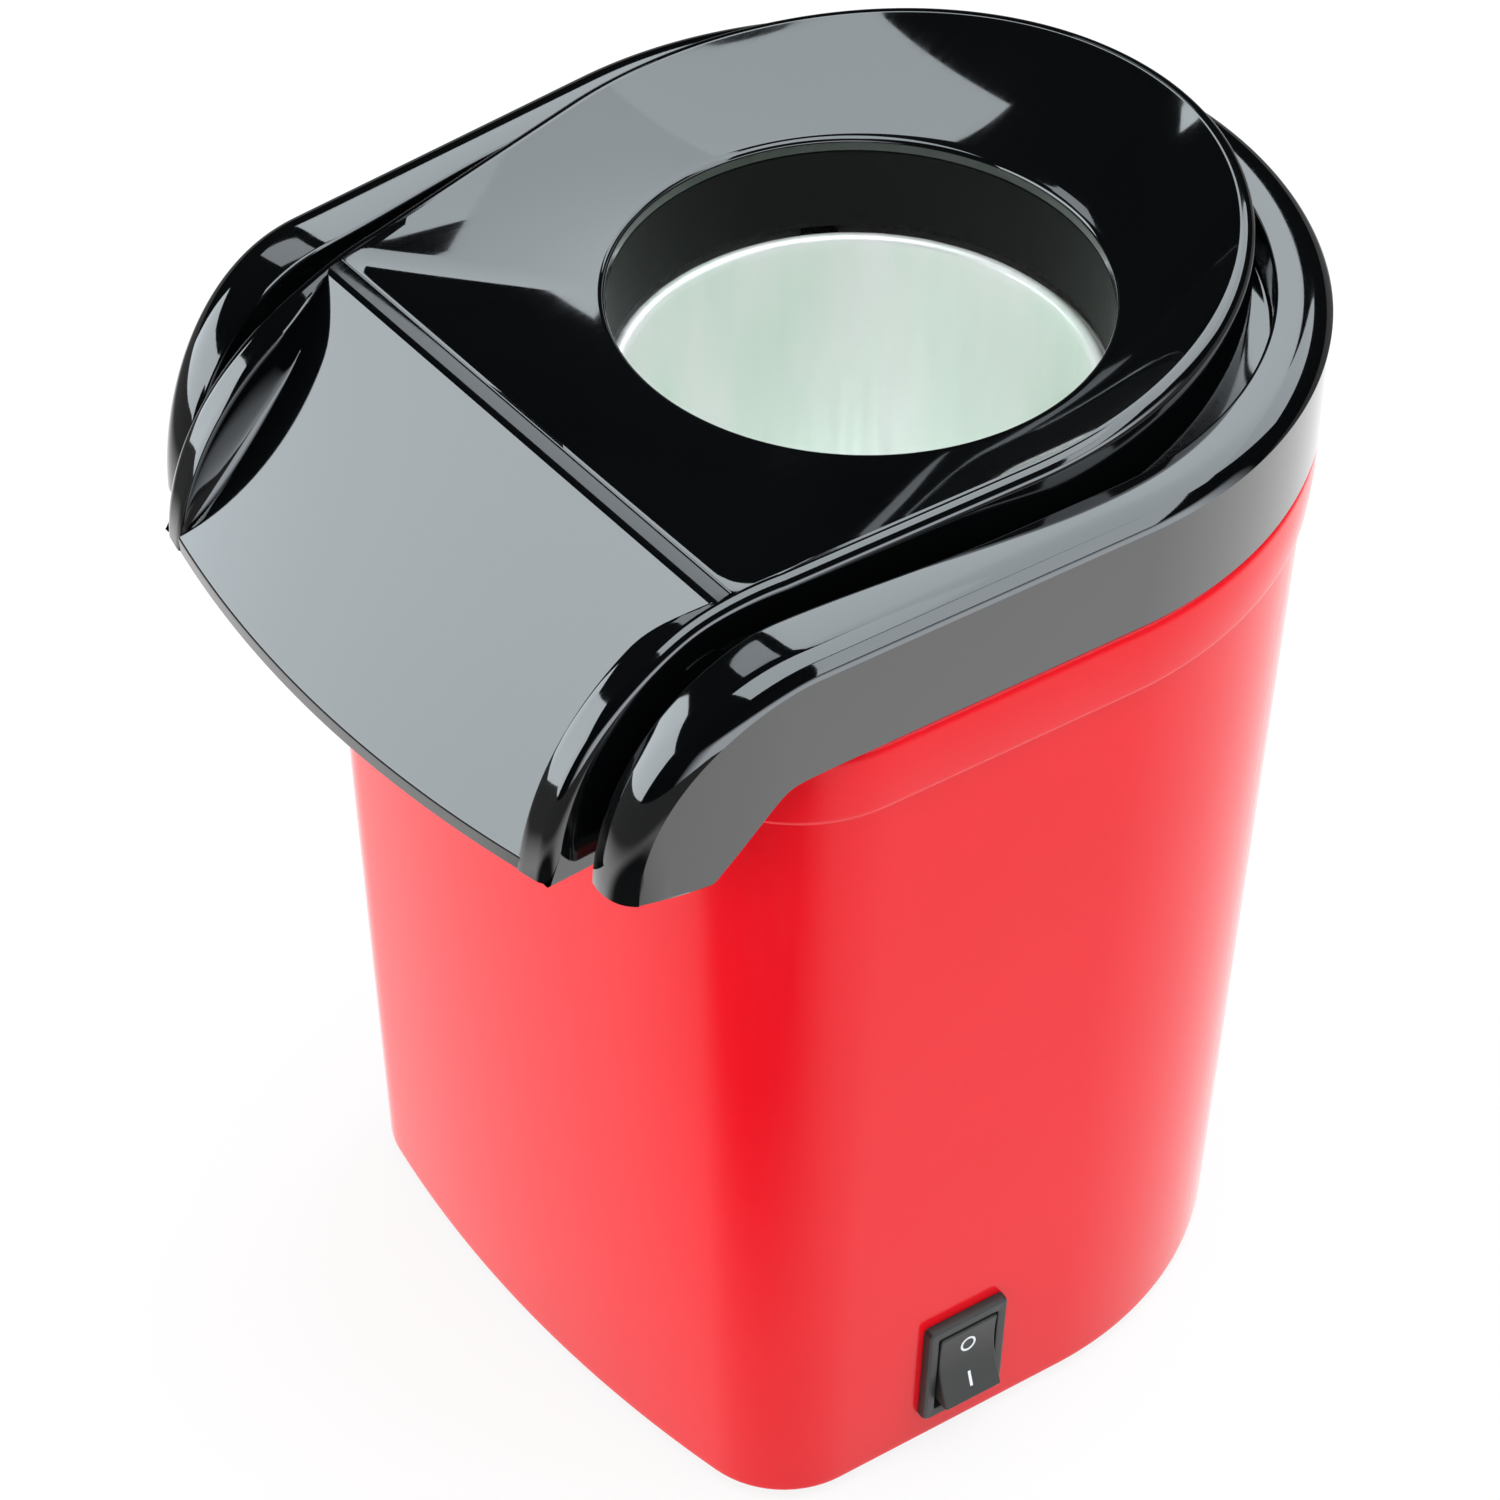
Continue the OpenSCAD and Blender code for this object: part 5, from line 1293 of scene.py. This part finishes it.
def build_chamber():
    half = math.degrees(math.asin(SLOT_HALF_W / (CAN_R + CAN_T / 2)))
    pitch = 360 / LOUVRES
    between = [-half, half] + [half + (pitch - 2 * half) * k / 6 for k in range(1, 6)]
    turns = [math.radians(i * pitch + a) for i in range(LOUVRES) for a in between]
    rows = chamber_rows()
    cols, count, per = len(turns), len(rows), len(between)
    points = [(row[side] * math.cos(a), row[side] * math.sin(a), row[side + 1])
              for side in (0, 2) for row in rows for a in turns]
    low, high = (next(i for i in range(count) if abs(rows[i][1] - z) < 0.01)
                 for z in (LOUVRE_Z, LOUVRE_Z + LOUVRE_H))

    def at(side, i, j):
        return side * count * cols + i * cols + j % cols

    faces = []
    for i in range(count - 1):
        for j in range(cols):
            if low <= i < high and j % per == 0:
                faces += [(at(0, i, a), at(0, i + 1, a), at(1, i + 1, a), at(1, i, a))
                          for a in (j, j + 1)]
            else:
                faces += [(at(side, i, j), at(side, i, j + 1), at(side, i + 1, j + 1),
                           at(side, i + 1, j)) for side in (0, 1)]
    slots, rim = range(0, cols, per), range(cols)
    for i, columns in ((low, slots), (high, slots), (count - 1, rim)):
        faces += [(at(0, i, j), at(0, i, j + 1), at(1, i, j + 1), at(1, i, j)) for j in columns]
    return points, faces


def vane(angle):
    """A thin slanted blade that reaches from one slot into the cup."""
    hinge = Matrix.Translation((CAN_R + CAN_T / 2, SLOT_HALF_W - 0.1, LOUVRE_Z))
    turned = Matrix.Rotation(angle, 4, "Z") @ hinge @ Matrix.Rotation(VANE_ANGLE, 4, "Z")
    return block(turned, (-0.3, -3.4, 0), (0.3, 0, LOUVRE_H))


flange = lathe([(CAN_R + CAN_T, DECK_TOP), (CAN_R + CAN_T, DECK_TOP + CAN_T),
                (FLANGE_R - 0.3, DECK_TOP + CAN_T), (FLANGE_R, DECK_TOP + CAN_T - 0.3),
                (FLANGE_R, DECK_TOP)], 120)
vanes = [vane(2 * math.pi * i / LOUVRES) for i in range(LOUVRES)]
chamber = make_piece("popping_chamber_cup", *join_parts([build_chamber(), flange] + vanes),
                     chamber_aluminium, "chassis", "chamber_aluminium", sharp=40)
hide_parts("popping_chamber")

# %% [markdown]
# ## Switch
# The rocker switch is a stock part: a flat frame clipped into its slot and a rocker with a hollow
# face, O above and a bar below. Frame and barrel are a stack of rectangles, the rocker is one
# profile pulled across, and a small bevel rounds every edge. The marks are thin raised print.

# %% Switch housing
SWITCH_L = 21.0
SWITCH_W = 15.0
BEZEL_T = 1.8
SLOT_W = SWITCH_W - 4.4
SLOT_L = SWITCH_L - 5.0
PIVOT_X = -1.5
ROCKER_H = SLOT_L / 2 - 0.8
ROCKER_REST = math.radians(-10)


def rectangle(half_w, half_l, x, corner, steps=4):
    """A rectangle with round corners at depth x of the switch's own frame."""
    points = []
    for k, (sy, sz) in enumerate(((1, 1), (-1, 1), (-1, -1), (1, -1))):
        for i in range(steps + 1):
            a = math.pi / 2 * (k + i / steps)
            points.append((x, sy * (half_w - corner) + corner * math.cos(a),
                           sz * (half_l - corner) + corner * math.sin(a)))
    return points


def in_switch(points, turn=0.0):
    """Points of the switch's own frame, turned about its pin, in the working frame."""
    pin = Matrix.Translation((PIVOT_X, 0, 0))
    turned = switch_frame @ pin @ Matrix.Rotation(turn, 4, "Y") @ pin.inverted()
    return [tuple(turned @ Vector(point)) for point in points]


def case_rings():
    """The case from its rear over the bezel and down into the slot: (grown by, depth, corner)."""
    outside = ((-1.2, -13, 0.6), (-1.2, 0.1, 0.6), (0, 0.1, 0.9), (0, BEZEL_T - 0.7, 0.9),
               (-0.15, BEZEL_T - 0.25, 0.85), (-0.5, BEZEL_T, 0.7))
    inside = ((0.65, BEZEL_T, 0.5), (0.4, BEZEL_T - 0.1, 0.4), (0.3, BEZEL_T - 0.35, 0.35),
              (0.3, -11, 0.35))
    return ([rectangle(SWITCH_W / 2 + e, SWITCH_L / 2 + e, x, corner) for e, x, corner in outside]
            + [rectangle(SLOT_W / 2 + e, SLOT_L / 2 + e, x, corner) for e, x, corner in inside])


case_points, case_faces = stack(case_rings())
switch_case = make_piece("switch_case", in_switch(case_points), case_faces, switch_black, "chassis",
                         "black_matt", sharp=30)
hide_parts("switch_housing")


# %% Rocker and its marks
def rocker_face(z):
    """Height of the hollow face."""
    return BEZEL_T + 0.3 + 1.3 * abs(z / ROCKER_H) ** 1.6


def rocker_outline():
    """Side profile of the rocker: a hollow face, round ends and a narrow foot at the pin."""
    face = [(rocker_face(z), z) for z in np.linspace(-ROCKER_H, ROCKER_H, 17)]
    return face + [(BEZEL_T + 0.8, ROCKER_H + 0.2), (PIVOT_X + 1, ROCKER_H - 0.8),
                   (PIVOT_X - 2.5, 2.5), (PIVOT_X - 2.5, -2.5), (PIVOT_X + 1, 0.8 - ROCKER_H),
                   (BEZEL_T + 0.8, -ROCKER_H - 0.2)]


def mark(z, shape):
    """Points of thin raised print on the rocker's face, from outlines of (across, up) around z."""
    return [(rocker_face(z + up) + depth, across, z + up) for depth in (-0.05, 0.07)
            for outline in shape for across, up in outline]


def ring_mark(z, radius, width, steps=48):
    turns = [2 * math.pi * k / steps for k in range(steps)]
    circles = [[(r * math.cos(a) * 0.92, r * math.sin(a)) for a in turns]
               for r in (radius, radius - width)]
    faces = []
    for k in range(steps):
        j = (k + 1) % steps
        for a, b in ((2, 3), (0, 1), (0, 2), (1, 3)):
            faces.append((a * steps + k, a * steps + j, b * steps + j, b * steps + k))
    return mark(z, circles), faces


def bar_mark(z, width, length, steps=6):
    outline = [(width / 2, length * (i / steps - 0.5)) for i in range(steps + 1)]
    outline += [(-across, -up) for across, up in outline]
    n = len(outline)
    faces = [(i, (i + 1) % n, n + (i + 1) % n, n + i) for i in range(n)]
    faces += [(base + i, base + i + 1, base + n - 2 - i, base + n - 1 - i)
              for base in (0, n) for i in range(steps)]
    return mark(z, [outline]), faces


rocker_points, rocker_faces = stack([[(x, y, z) for x, z in rocker_outline()]
                                     for y in (-SLOT_W / 2, SLOT_W / 2)])
rocker = make_piece("rocker", in_switch(rocker_points, ROCKER_REST), rocker_faces, switch_black,
                    "rocker", "black_gloss", sharp=30)
edge_round = rocker.modifiers.new("edge round", "BEVEL")
edge_round.width = 0.3 * MM
edge_round.segments = 3
edge_round.limit_method = "ANGLE"
edge_round.angle_limit = math.radians(35)
edge_round.harden_normals = True
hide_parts("switch_rocker")

marks_points, marks_faces = join_parts([ring_mark(3.6, 1.55, 0.42), bar_mark(-3.7, 0.5, 2.7)])
make_piece("rocker_marks", in_switch(marks_points, ROCKER_REST), marks_faces, white_print, "rocker",
           "black_gloss", sharp=30)

# %% [markdown]
# ## Every other piece
# The rest of the solids are right as they are: the throat and chute, the deck, the duct and
# blower, the motor's parts, the screws, feet and the cord gland. Each takes the finish that its
# record names, but the throat takes its own duller black. New meshes for them would look no
# different.

# %% Finishes by slot
FINISHES = {
    "red_shell": red_shell, "black_gloss": black_gloss, "black_matt": black_matt,
    "chamber_aluminium": chamber_aluminium, "plated_steel": plated_steel, "dark_steel": dark_steel,
    "screw_steel": screw_steel, "brass": brass, "mica": mica, "resistance_wire": resistance_wire,
    "copper": copper, "ceramic": ceramic, "carbon": carbon, "board_green": board_green,
    "rubber": rubber,
}
OWN_FINISH = {"lid_chute": throat_black}


def dress_solids():
    slots = {part["node"]: part["material_slot"] for part in frame["record"]["subparts"]}
    for name, obj in frame["nodes"].items():
        obj.data.materials.clear()
        obj.data.materials.append(OWN_FINISH.get(name, FINISHES[slots[name]]))
    return len(slots)


print("solids dressed:", dress_solids())
